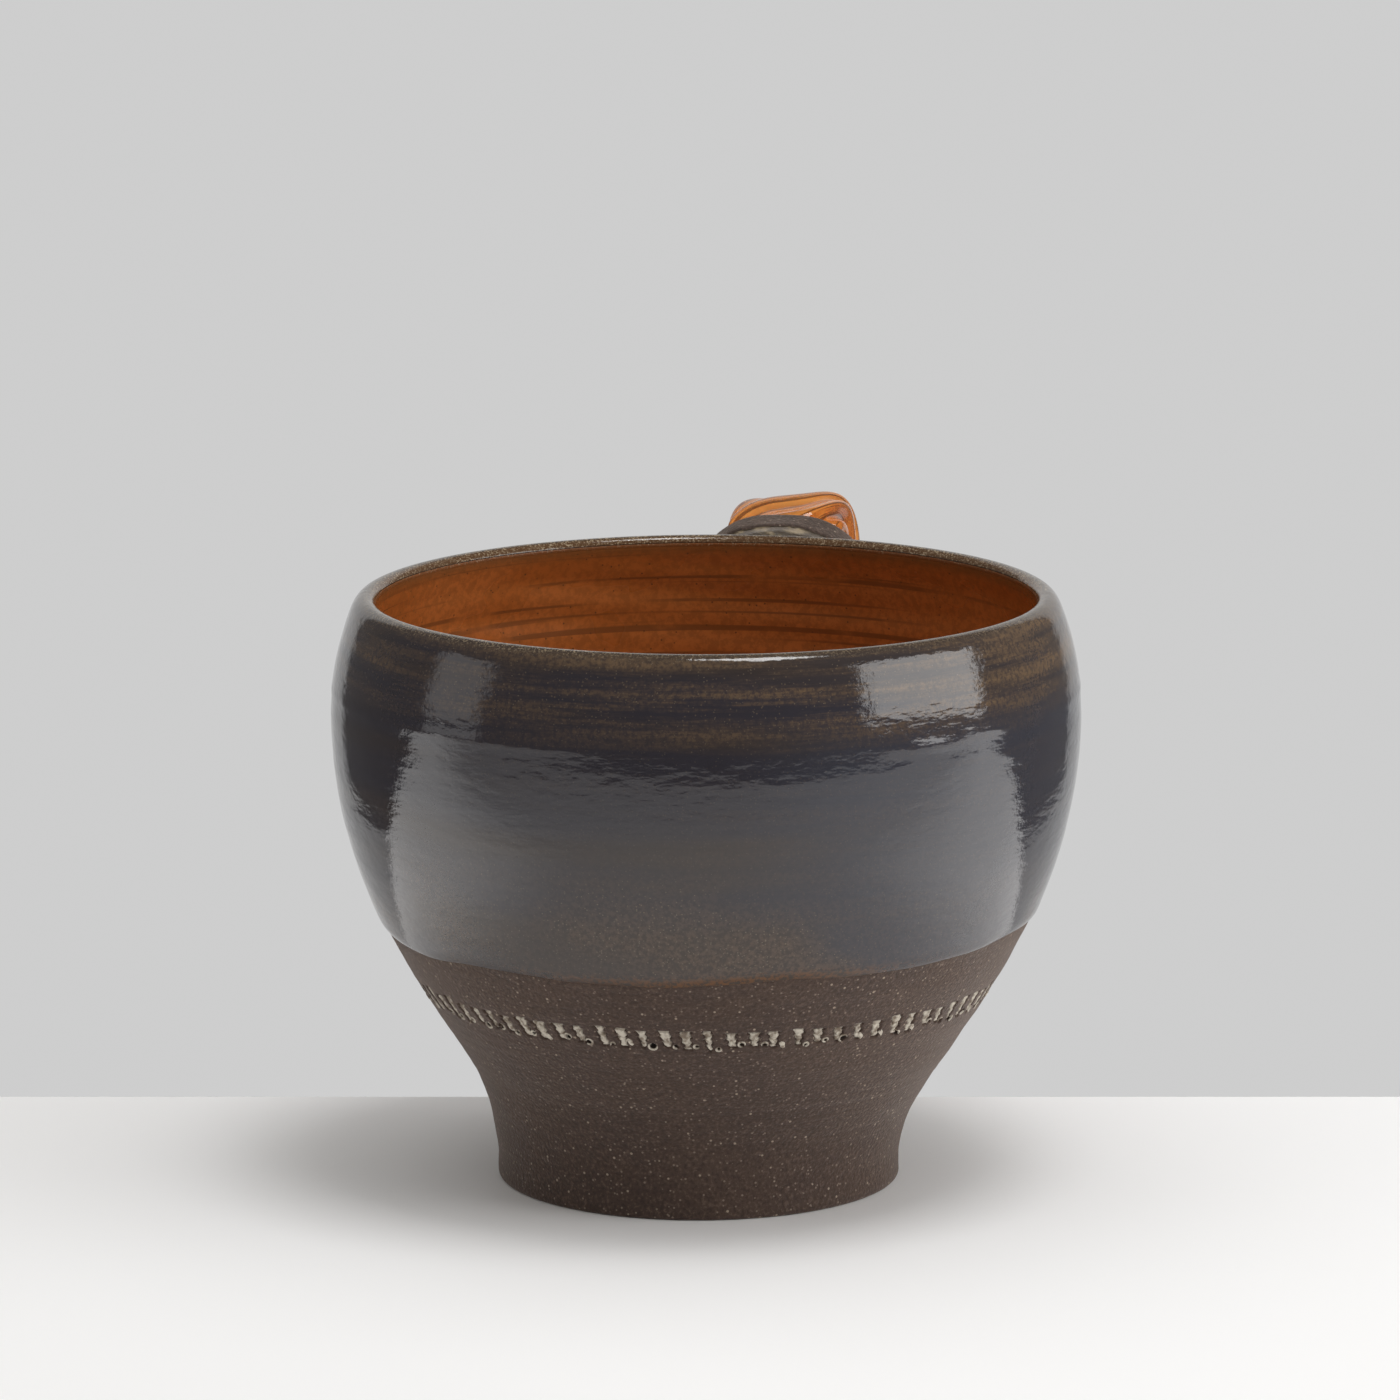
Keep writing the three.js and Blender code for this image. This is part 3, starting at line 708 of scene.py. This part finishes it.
def socket_collar(name, seat, seed):
    """A clay collar on the wall: a rounded nose, a straight mouth with a soft edge, and its hollow."""
    angle = round_angles(96)
    turn = np.radians(np.linspace(14, 90, 12))
    rows = [(-SOCKET_NOSE * math.cos(t), math.sin(t), SOCKET_STEP) for t in turn]
    rows += [(distance, 1.0, SOCKET_STEP) for distance in np.linspace(0.4, SOCKET_BARE - 0.1, 6)]
    rows += [(SOCKET_BARE, 1.0, 0.7 * SOCKET_STEP), (SOCKET_BARE + 0.15, 1.0, 0.2 * SOCKET_STEP)]
    soft = SOCKET_WALL / 2
    rows += [(distance, 1.0, 0.0) for distance in np.linspace(SOCKET_BARE + 0.4, seat.mouth - soft, 10)]
    for t in np.radians(np.linspace(15, 180, 12)):
        rows.append((seat.mouth - soft + soft * math.sin(t), 1.0, soft * (1 - math.cos(t))))
    rows += [(distance, 1.0, SOCKET_WALL) for distance in np.linspace(seat.mouth - 1.3, seat.floor, 6)]
    rows += [(seat.floor, size, SOCKET_WALL * size) for size in (0.8, 0.4, 0.1)]
    phases = np.random.default_rng(seed).uniform(0, TURN, len(COLLAR_DENTS))
    rings = []
    for distance, size, inset in rows:
        flare = 1 + SOCKET_FLARE * (1 - smooth(abs(distance), 0, 2.6))
        dents = np.zeros(len(angle))
        for (count, depth, wind), phase in zip(COLLAR_DENTS, phases):
            dents += depth * np.cos(count * angle + phase + wind * distance)
        dents *= min(size, 1 - inset / SOCKET_WALL)
        halves = [half * size * flare - inset + dents for half in SOCKET_HALF]
        rings.append(oval_ring(seat.along(distance), seat.up, halves, angle))
    grid = bed_on_wall(np.stack(rings), seat.way)
    ahead = np.array([row[0] for row in rows])[:, None] + 0 * angle
    glazed = 1 - smooth(ahead, SOCKET_BARE - 0.1, SOCKET_BARE + 0.1)
    glazed = glazed * smooth(grid[..., 2], DIP_HEIGHT, DIP_HEIGHT + 1)
    return skin(name, grid * MM, spin=grid * MM, pit=0 * glazed, glazed=glazed)


def resin_ring(name, seat):
    """The cement round a tenon, with a meniscus where it meets the glass."""
    angle = round_angles(72)
    outset = SOCKET_WALL + FIT_GAP
    inset = outset + CEMENT
    top = seat.mouth - CEMENT_SINK
    floor = seat.floor + FIT_GAP
    rows = [(floor, inset + 2), (floor, outset)]
    rows += [(distance, outset) for distance in np.linspace(floor + 0.5, top - 0.3, 6)]
    rows += [(top, outset + 0.12), (top - 0.12, outset + 0.3), (top + 0.05, inset - 0.2), (top + 0.45, inset)]
    rows += [(distance, inset) for distance in np.linspace(top, floor + CEMENT, 6)]
    rows += [(floor + CEMENT, inset + 2)]
    rings = [oval_ring(seat.along(distance), seat.up, SOCKET_HALF - room, angle) for distance, room in rows]
    return skin(name, np.stack(rings) * MM)


def handle_spine():
    """The glass handle's middle line from mouth to mouth, in (out, up)."""
    start = UPPER.along(UPPER.mouth + FIT_GAP)
    end = LOWER.along(LOWER.mouth + FIT_GAP)
    reach = BELLY_RADIUS + COAT_GAP + GLAZE + FINGER_GAP + GLASS_THICKNESS / 2
    outermost = np.array((reach, HANDLE_MIDDLE))
    upper = bezier((start, start + UPPER.way * UPPER_BOW, outermost + (0, OUTER_BOW_UP), outermost), 60)
    lower = bezier((outermost, outermost - (0, OUTER_BOW_DOWN), end + LOWER.way * LOWER_BOW, end), 60)
    return Outline(join(upper, lower[1:]))


def twisted_glass():
    """The glass handle: a round-ended tenon, the twisted and lobed loop, and the other tenon."""
    line = handle_spine()
    angle = round_angles(120)
    tenon = SOCKET_HALF - (SOCKET_WALL + FIT_GAP + CEMENT + FIT_GAP)
    body = np.array((GLASS_WIDTH / 2, GLASS_THICKNESS / 2))
    rise = FIT_GAP + CEMENT + FIT_GAP
    rings = []
    lengths = []

    def add_ring(centre, up, sizes, grown, length):
        swell = 1 + LOBE_DEPTH * grown * (np.cos(LOBES * angle) - 1)
        turned = angle + TURN * length / TWIST_PITCH + TWIST_START
        square = 2 + (GLASS_SQUARE - 2) * grown
        halves = [size * swell for size in sizes]
        rings.append(oval_ring(centre, up, halves, turned, square, GLASS_ROLL * grown))
        lengths.append(length)

    round_end = ((0, 0.82), (0.25, 0.96), (0.6, 1.0))
    for share, size in round_end:
        add_ring(UPPER.along(UPPER.floor + rise + share), UPPER.up, tenon * size, 0, 0)
    for distance in np.linspace(UPPER.floor + rise + 1.5, UPPER.mouth, 4):
        add_ring(UPPER.along(distance), UPPER.up, tenon, 0, 0)
    ease = np.linspace(0, 1, 9)[1:] ** 2 * SHOULDER_LENGTH
    middle = np.linspace(SHOULDER_LENGTH, line.total - SHOULDER_LENGTH, 190)
    for length in join(ease[:-1], middle, line.total - ease[-2::-1]):
        centre = np.array(line.at(length))
        inward = centre - line.at(length, 1.0)
        up = inward / np.linalg.norm(inward)
        to_end = min(length, line.total - length)
        grown = rounded(to_end / SHOULDER_LENGTH, 0)
        drawn = body * (1 + waves(GLASS_SWELLS, length))
        add_ring(centre, up, tenon + (drawn - tenon) * grown, grown, length)
    for distance in np.linspace(LOWER.mouth, LOWER.floor + rise + 1.5, 4):
        add_ring(LOWER.along(distance), -LOWER.up, tenon, 0, line.total)
    for share, size in round_end[::-1]:
        add_ring(LOWER.along(LOWER.floor + rise + share), -LOWER.up, tenon * size, 0, line.total)
    around = np.stack((np.cos(angle), np.sin(angle)), axis=-1) * GLASS_WIDTH / 2
    twist = [np.column_stack((around, np.full(len(angle), length))) for length in lengths]
    return skin("twisted_glass", np.stack(rings) * MM, twist=np.stack(twist) * MM)


class Surface:
    """A material with one Principled shader, and short ways to feed it."""

    def __init__(self, name, **constants):
        self.made = bpy.data.materials.new(name)
        self.made.use_nodes = True
        self.tree = self.made.node_tree
        self.shader = self.tree.nodes["Principled BSDF"]
        for key, value in constants.items():
            self.shader.inputs[key.replace("_", " ")].default_value = value

    def add(self, kind, inputs, **settings):
        node = self.tree.nodes.new("ShaderNode" + kind)
        for key, value in settings.items():
            setattr(node, key, value)
        for key, value in inputs.items():
            if isinstance(value, bpy.types.NodeSocket):
                self.tree.links.new(value, node.inputs[key])
            else:
                node.inputs[key].default_value = value
        return node

    def place(self, stretch=(1, 1, 1), attribute=None):
        """Coordinates in metres, from the object or one of its attributes, stretched along each axis."""
        if attribute:
            source = self.add("Attribute", {}, attribute_name=attribute).outputs["Vector"]
        else:
            source = self.add("TexCoord", {}).outputs["Object"]
        return self.add("VectorMath", {0: source, 1: stretch}, operation="MULTIPLY").outputs["Vector"]

    def value(self, attribute):
        return self.add("Attribute", {}, attribute_name=attribute).outputs["Fac"]

    def noise(self, where, scale=1.0, detail=3.0, roughness=0.55):
        inputs = {"Vector": where, "Scale": scale, "Detail": detail, "Roughness": roughness}
        return self.add("TexNoise", inputs).outputs["Fac"]

    def ramp(self, value, low, high, start=0.0, end=1.0):
        inputs = {"Value": value, "From Min": low, "From Max": high, "To Min": start, "To Max": end}
        return self.add("MapRange", inputs, interpolation_type="SMOOTHSTEP").outputs["Result"]

    def maths(self, operation, a, b):
        return self.add("Math", {0: a, 1: b}, operation=operation).outputs["Value"]

    def times(self, a, b):
        return self.maths("MULTIPLY", a, b)

    def mix(self, share, a, b):
        node = self.add("Mix", {"Factor": share}, data_type="RGBA")
        for socket, colour in ((node.inputs[6], a), (node.inputs[7], b)):
            if isinstance(colour, bpy.types.NodeSocket):
                self.tree.links.new(colour, socket)
            else:
                socket.default_value = (*colour, 1)
        return node.outputs[2]

    def specks(self, scale, radius, share):
        """Small grains: one in each cell of a cut-up space, of which a share is shown."""
        cells = self.add("TexVoronoi", {"Vector": self.place(), "Scale": scale})
        grain = self.ramp(cells.outputs["Distance"], radius, radius * 0.55)
        chance = self.add("SeparateColor", {0: cells.outputs["Color"]}).outputs[0]
        return self.times(grain, self.maths("LESS_THAN", chance, share))

    def bump(self, height, distance, normal=None):
        inputs = {"Height": height, "Distance": distance}
        if normal:
            inputs["Normal"] = normal
        return self.add("Bump", inputs).outputs["Normal"]

    def show(self, shader):
        self.tree.links.new(shader.outputs[0], self.tree.nodes["Material Output"].inputs["Surface"])
        return self.made

    def feed(self, **sockets):
        for key, value in sockets.items():
            self.tree.links.new(value, self.shader.inputs[key.replace("_", " ")])
        return self.made


SHEEN_TINT = (1.0, 0.88, 0.8, 1)


def clay_surface(name="bare_clay", glazed=False):
    """Dark stoneware: turned lines, open grain and pale grog."""
    s = Surface(name, Specular_IOR_Level=0.3, Sheen_Weight=0.32, Sheen_Roughness=0.45, Sheen_Tint=SHEEN_TINT)
    cloud = s.ramp(s.noise(s.place(), 90, 4), 0.35, 0.65)
    lines = s.ramp(s.noise(s.place((25, 25, 700), "spin")), 0.38, 0.66)
    sand = s.noise(s.place(), 1900, 2, 0.6)
    colour = s.mix(cloud, (0.054, 0.032, 0.024), (0.071, 0.045, 0.034))
    colour = s.mix(s.times(lines, 0.25), colour, (0.082, 0.053, 0.041))
    colour = s.mix(s.times(s.ramp(sand, 0.52, 0.68), 0.55), colour, (0.140, 0.096, 0.073))
    colour = s.mix(s.times(s.ramp(sand, 0.46, 0.34), 0.55), colour, (0.030, 0.020, 0.016))
    colour = s.mix(s.specks(1150, 0.24, 0.6), colour, (0.22, 0.165, 0.128))
    colour = s.mix(s.specks(620, 0.15, 0.6), colour, (0.36, 0.285, 0.215))
    # Painted shade: the pits are painted near black, for the shade inside the holes
    colour = s.mix(s.value("pit"), colour, (0.006, 0.004, 0.003))
    rough = s.ramp(cloud, 0, 1, 0.72, 0.88)
    normal = s.bump(sand, 0.00016)
    normal = s.bump(lines, 0.00003, normal)
    if glazed:
        # Painted shade: in the collars the clay is darkened in noisy patches, a shaded copy of the clay for
        # their upward-facing sides
        patchy = s.noise(s.place(), 400)
        colour = s.mix(s.ramp(patchy, 0.35, 0.65, 0.1, 0.5), colour, (0.024, 0.016, 0.011))
        share = s.ramp(s.maths("ADD", s.value("glazed"), s.times(patchy, 0.5)), 0.65, 0.85)
        coat_colour = s.mix(s.ramp(patchy, 0.4, 0.65), (0.05, 0.038, 0.026), (0.24, 0.19, 0.12))
        colour = s.mix(share, colour, coat_colour)
        rough = s.times(rough, s.ramp(share, 0, 1, 1.0, 0.2))
    return s.feed(Base_Color=colour, Roughness=rough, Normal=normal)


def dark_glaze_surface():
    """Tenmoku-like glaze: brown to blue-black streaks, rust where it breaks over an edge, and iron specks."""
    s = Surface("dark_glaze", IOR=1.6, Specular_IOR_Level=0.5)
    streaks = s.noise(s.place((16, 16, 330), "spin"), detail=6, roughness=0.7)
    broad = s.noise(s.place((9, 9, 90), "spin"), detail=2)
    sand = s.noise(s.place(), 1500, 3, 0.7)
    colour = s.mix(s.ramp(broad, 0.40, 0.60), (0.036, 0.026, 0.022), (0.025, 0.022, 0.029))
    # The spin's x runs toward the side of the right-hand lamps
    across = s.add("SeparateXYZ", {0: s.place(attribute="spin")}).outputs[0]
    past_crest = s.value("past_crest")
    upper = s.ramp(past_crest, -17, -7)
    # Painted reflection: the lower glaze turns bluer toward that side
    painted_cool_reflection = s.times(s.ramp(across, 0.012, 0.034, 0, 0.75), s.ramp(upper, 0, 1, 1.0, 0.25))
    colour = s.mix(painted_cool_reflection, colour, (0.033, 0.036, 0.050))
    gold = s.times(s.ramp(streaks, 0.40, 0.66), s.ramp(upper, 0, 1, 0.10, 1.0))
    gold = s.times(gold, s.ramp(sand, 0.36, 0.64, 0.25, 1.0))
    # Painted light: the gold streaks are made stronger toward the lit side
    gold = s.times(gold, s.ramp(across, -0.03, 0.03, 0.7, 1.4))
    colour = s.mix(gold, colour, (0.125, 0.080, 0.046))
    cloudy = s.ramp(s.noise(s.place((24, 24, 30))), 0.42, 0.60, 0.25, 1.0)
    thin = s.times(s.ramp(s.value("from_edge"), 24, 4), cloudy)
    gritty = s.mix(s.ramp(sand, 0.40, 0.62), (0.039, 0.024, 0.015), (0.094, 0.058, 0.036))
    colour = s.mix(s.times(thin, 0.85), colour, gritty)
    shown = s.ramp(s.maths("MAXIMUM", s.times(upper, 0.35), thin), 0.0, 0.7, 0.2, 1.0)
    colour = s.mix(s.times(s.specks(1700, 0.26, 0.6), shown), colour, (0.115, 0.083, 0.055))
    colour = s.mix(s.times(s.specks(1600, 0.16, 0.45), shown), colour, (0.20, 0.155, 0.105))
    rust = s.mix(s.ramp(sand, 0.40, 0.60), (0.028, 0.015, 0.007), (0.128, 0.046, 0.006))
    wash = s.value("wash")
    colour = s.mix(wash, colour, rust)
    outer = s.ramp(past_crest, -1.9, -0.3)
    # Pale flecks on the lip, stronger in broad patches: partly the glaze's own specks, partly painted glints
    worn = s.noise(s.place(), 22, 2)
    flecks_and_glints = s.ramp(s.noise(s.place(), 3200, 3, 0.7), 0.50, 0.66)
    flecks_and_glints = s.times(flecks_and_glints, s.ramp(worn, 0.40, 0.60, 0.45, 1.0))
    lip_colour = s.mix(flecks_and_glints, (0.044, 0.030, 0.020), (0.30, 0.23, 0.145))
    colour = s.mix(s.times(outer, 0.9), colour, lip_colour)
    inner = s.ramp(past_crest, 0.1, 0.8)
    colour = s.mix(s.times(inner, 0.85), colour, (0.095, 0.046, 0.018))
    # Partly painted glints: the pale flecks crowd together at the crest
    crowded = s.times(s.ramp(past_crest, -0.5, 0.3), flecks_and_glints)
    colour = s.mix(crowded, colour, (0.38, 0.30, 0.20))
    mottle = s.noise(s.place(), 1100, 4, 0.7)
    rough = s.maths("ADD", s.ramp(mottle, 0.3, 0.7, 0.03, 0.06), s.times(wash, 0.6))
    peel = s.noise(s.place((260, 260, 700)), detail=2)
    normal = s.bump(peel, 0.00008)
    normal = s.bump(sand, 0.00002, normal)
    normal = s.bump(s.times(mottle, outer), 0.00004, normal)
    return s.feed(Base_Color=colour, Roughness=rough, Normal=normal)


def amber_surface():
    """Amber liner: warm brown, with broken dark rings where the glaze gathers in the throwing lines."""
    s = Surface("amber_glaze", IOR=1.5, Specular_IOR_Level=0.3)
    cloud = s.noise(s.place((30, 30, 60), "spin"))
    rings = s.noise(s.place((6, 6, 620), "spin"), detail=2, roughness=0.5)
    breaks = s.noise(s.place((45, 45, 160), "spin"))
    colour = s.mix(s.ramp(cloud, 0.35, 0.65), (0.352, 0.100, 0.021), (0.43, 0.132, 0.031))
    dark = s.times(s.ramp(rings, 0.54, 0.59), s.ramp(breaks, 0.36, 0.52))
    colour = s.mix(s.times(dark, 0.68), colour, (0.120, 0.044, 0.015))
    grain = s.noise(s.place(), 900, 3, 0.7)
    colour = s.mix(s.ramp(grain, 0.60, 0.40, 0, 0.45), colour, (0.20, 0.068, 0.017))
    colour = s.mix(s.specks(900, 0.17, 0.4), colour, (0.13, 0.052, 0.017))
    below_lip = s.add("SeparateXYZ", {0: s.place((1, 1, 1000), "spin")}).outputs[2]
    colour = s.mix(s.ramp(below_lip, 2.4, 0.2, 0, 0.7), colour, (0.110, 0.050, 0.018))
    edge = s.ramp(below_lip, 0.5, 0.1)
    # Pale flecks at the liner's top edge: partly the glaze's own specks, partly painted glints
    flecks_and_glints = s.ramp(s.noise(s.place(), 3200, 3, 0.7), 0.54, 0.70, 0, 0.7)
    colour = s.mix(s.times(flecks_and_glints, edge), colour, (0.38, 0.30, 0.20))
    rough = s.maths("ADD", s.ramp(cloud, 0.3, 0.7, 0.2, 0.34), s.times(edge, 0.2))
    normal = s.bump(s.noise(s.place(), 300, 2), 0.00005)
    normal = s.bump(s.times(grain, edge), 0.0002, normal)
    return s.feed(Base_Color=colour, Roughness=rough, Normal=normal)


def slip_surface():
    s = Surface("cream_slip", Specular_IOR_Level=0.25)
    cloud = s.noise(s.place(), 900, 4, 0.65)
    colour = s.mix(s.ramp(cloud, 0.35, 0.6), (0.20, 0.155, 0.115), (0.60, 0.545, 0.46))
    rough = s.ramp(cloud, 0.3, 0.7, 0.75, 0.9)
    return s.feed(Base_Color=colour, Roughness=rough, Normal=s.bump(cloud, 0.00008))


def glass_surface():
    """Clear amber glass with darker canes wound along the twist."""
    s = Surface("amber_glass", IOR=1.5, Transmission_Weight=0.6, Specular_IOR_Level=0.25)
    canes = s.noise(s.place((170, 170, 25), "twist"), roughness=0.6)
    threads = s.noise(s.place((700, 700, 24), "twist"), roughness=0.6)
    colour = s.mix(s.ramp(canes, 0.42, 0.62), (0.93, 0.39, 0.09), (0.78, 0.25, 0.045))
    colour = s.mix(s.ramp(threads, 0.52, 0.62, 0, 0.85), colour, (0.16, 0.055, 0.016))
    rough = s.ramp(canes, 0.3, 0.7, 0.015, 0.04)
    return s.feed(Base_Color=colour, Roughness=rough, Normal=s.bump(threads, 0.0001))


def resin_surface():
    s = Surface("amber_resin", IOR=1.5, Specular_IOR_Level=0.5)
    cloud = s.noise(s.place(), 500)
    colour = s.mix(s.ramp(cloud, 0.35, 0.65), (0.20, 0.11, 0.05), (0.30, 0.18, 0.09))
    return s.feed(Base_Color=colour, Roughness=s.ramp(cloud, 0.3, 0.7, 0.25, 0.4))


def dress(piece, node, surface):
    piece.data.materials.append(surface)
    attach(piece, "root")
    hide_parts(node)


clay = clay_surface()
socket_clay = clay_surface("socket_clay", glazed=True)
resin = resin_surface()
dress(thrown_foot(), "foot", clay)
dress(thrown_bowl(), "bowl", clay)
dress(dark_glaze(), "outer_glaze", dark_glaze_surface())
dress(amber_glaze(), "liner_glaze", amber_surface())
dress(slip_marks(), "slip_inlay", slip_surface())
dress(socket_collar("upper_collar", UPPER, 41), "upper_socket", socket_clay)
dress(socket_collar("lower_collar", LOWER, 42), "lower_socket", socket_clay)
dress(resin_ring("upper_resin", UPPER), "upper_cement", resin)
dress(resin_ring("lower_resin", LOWER), "lower_cement", resin)
dress(twisted_glass(), "glass_handle", glass_surface())


def from_camera(right, deep, up):
    """A place given from the camera's side in millimetres, as a point in metres."""
    x = right * math.cos(CAMERA_TURN) - deep * math.sin(CAMERA_TURN)
    y = right * math.sin(CAMERA_TURN) + deep * math.cos(CAMERA_TURN)
    return Vector((x, y, up)) * MM


def sheet(name, half, start, end, surface):
    """A flat piece of the stage, between two edges that are given as (deep, up)."""
    corners = ((-half, *start), (half, *start), (half, *end), (-half, *end))
    mesh = bpy.data.meshes.new(name)
    mesh.from_pydata([from_camera(*corner) for corner in corners], [], [(0, 1, 2, 3)])
    mesh.materials.append(surface)
    put(name, mesh)


def table_surface():
    """A white top, greyer far off, brighter beside the mug in gloss alone, and clear from below."""
    s = Surface("white_table", Roughness=0.55, Specular_IOR_Level=0.3)
    axes = (from_camera(1, 0, 0) / MM, from_camera(0, 1, 0) / MM)
    places = [s.add("VectorMath", {0: s.place(), 1: axis}, operation="DOT_PRODUCT") for axis in axes]
    right, deep = (place.outputs["Value"] for place in places)
    aside = s.maths("ABSOLUTE", right, 0.0)
    near = s.times(s.ramp(deep, -0.42, -0.13), s.ramp(aside, 0.45, 0.13))
    cloud = s.noise(s.place(), 9, 2)
    white = s.mix(cloud, (0.88, 0.88, 0.88), (0.90, 0.90, 0.90))
    s.feed(Base_Color=s.mix(near, (0.74, 0.74, 0.74), white))
    beside = s.times(s.ramp(aside, 0.06, 0.13, 0, 0.9), s.ramp(deep, -0.15, -0.02))
    mirrored = s.add("LightPath", {}).outputs["Is Glossy Ray"]
    glow = s.add("Emission", {"Strength": s.times(beside, mirrored)})
    lit = s.add("AddShader", {0: s.shader.outputs[0], 1: glow.outputs[0]})
    # Clear under the foot too, so that its base is lit
    clear = s.add("BsdfTransparent", {})
    behind = s.add("NewGeometry", {}).outputs["Backfacing"]
    reach = s.add("VectorMath", {0: s.place()}, operation="LENGTH").outputs["Value"]
    opened = s.maths("MAXIMUM", behind, s.maths("LESS_THAN", reach, (FOOT_RADIUS - FOOT_BEVEL - 0.1) * MM))
    return s.show(s.add("MixShader", {0: opened, 1: lit.outputs[0], 2: clear.outputs[0]}))


def backdrop_surface():
    """Plain grey where it is seen, in gloss and through glass too, and dull for all other light."""
    s = Surface("grey_backdrop", Base_Color=(0.3, 0.3, 0.3, 1), Roughness=0.9)
    rays = s.add("LightPath", {}).outputs
    seen = s.maths("MAXIMUM", rays["Is Camera Ray"], rays["Is Glossy Ray"])
    seen = s.maths("MAXIMUM", seen, rays["Is Transmission Ray"])
    grey = s.add("Emission", {"Color": (*[BACKDROP_GREY] * 3, 1)})
    return s.show(s.add("MixShader", {0: seen, 1: s.shader.outputs[0], 2: grey.outputs[0]}))


def stage():
    sheet("table", TABLE_HALF_WIDTH, (TABLE_FRONT, 0), (TABLE_BACK, 0), table_surface())
    grey = backdrop_surface()
    corner = (BACKDROP_AWAY, BACKDROP_LOW)
    sheet("backdrop", BACKDROP_HALF_WIDTH, corner, (BACKDROP_AWAY, BACKDROP_HIGH), grey)
    sheet("sweep", BACKDROP_HALF_WIDTH, (TABLE_BACK, BACKDROP_LOW), corner, grey)


def softbox(name, place, aim, size, watts, roll=0.0, mirrored=True):
    lamp = bpy.data.lights.new(name, "AREA")
    lamp.shape = "RECTANGLE"
    lamp.size, lamp.size_y = (edge * MM for edge in size)
    lamp.energy = watts
    made = put(name, lamp)
    made.location = from_camera(*place)
    way = from_camera(*aim) - made.location
    rolled = way.to_track_quat("-Z", "Y") @ Quaternion((0, 0, 1), math.radians(roll))
    made.rotation_euler = rolled.to_euler()
    made.visible_camera = False
    made.visible_glossy = mirrored


def lights():
    middle = (0, 0, 50)
    softbox("overhead", (210, -210, 1400), middle, (450, 450), 5.8)
    softbox("ceiling", (0, 0, 1500), middle, (2000, 2000), 13.0, mirrored=False)
    softbox("key_right", (980, -320, 420), middle, (820, 460), 3.8, roll=-10)
    softbox("fill_right", (900, -150, 450), middle, (700, 700), 1.9, mirrored=False)
    softbox("panel_left", (-1042, -128, 285), middle, (380, 420), 0.36)


def studio_world():
    """Soft light all round, a dark room in the gloss, and the backdrop's grey where it is seen."""
    world = bpy.data.worlds.new("studio")
    bpy.context.scene.world = world
    world.use_nodes = True
    tree = world.node_tree
    path = tree.nodes.new("ShaderNodeLightPath")
    last = tree.nodes["Background"]
    last.inputs["Color"].default_value = (0.325, 0.312, 0.296, 1)
    rays = {"Is Glossy Ray": ROOM_GREY, "Is Transmission Ray": BACKDROP_GREY, "Is Camera Ray": BACKDROP_GREY}
    for ray, level in rays.items():
        seen = tree.nodes.new("ShaderNodeBackground")
        seen.inputs["Color"].default_value = (*[level] * 3, 1)
        both = tree.nodes.new("ShaderNodeMixShader")
        tree.links.new(path.outputs[ray], both.inputs[0])
        tree.links.new(last.outputs[0], both.inputs[1])
        tree.links.new(seen.outputs[0], both.inputs[2])
        last = both
    tree.links.new(last.outputs[0], tree.nodes["World Output"].inputs["Surface"])


def camera():
    eye = bpy.data.cameras.new("camera")
    eye.sensor_fit = "HORIZONTAL"
    eye.angle = 2 * math.atan(PHOTO_SIDE_PX / 2 / FOCAL_PX)
    eye.clip_end = 20
    made = put("camera", eye)
    made.location = from_camera(CAMERA_ASIDE, -CAMERA_BACK, CAMERA_HEIGHT)
    made.rotation_euler = (math.pi / 2 - CAMERA_PITCH, 0, CAMERA_TURN)
    bpy.context.scene.camera = made


stage()
lights()
studio_world()
camera()
bpy.context.scene.view_settings.view_transform = "Standard"
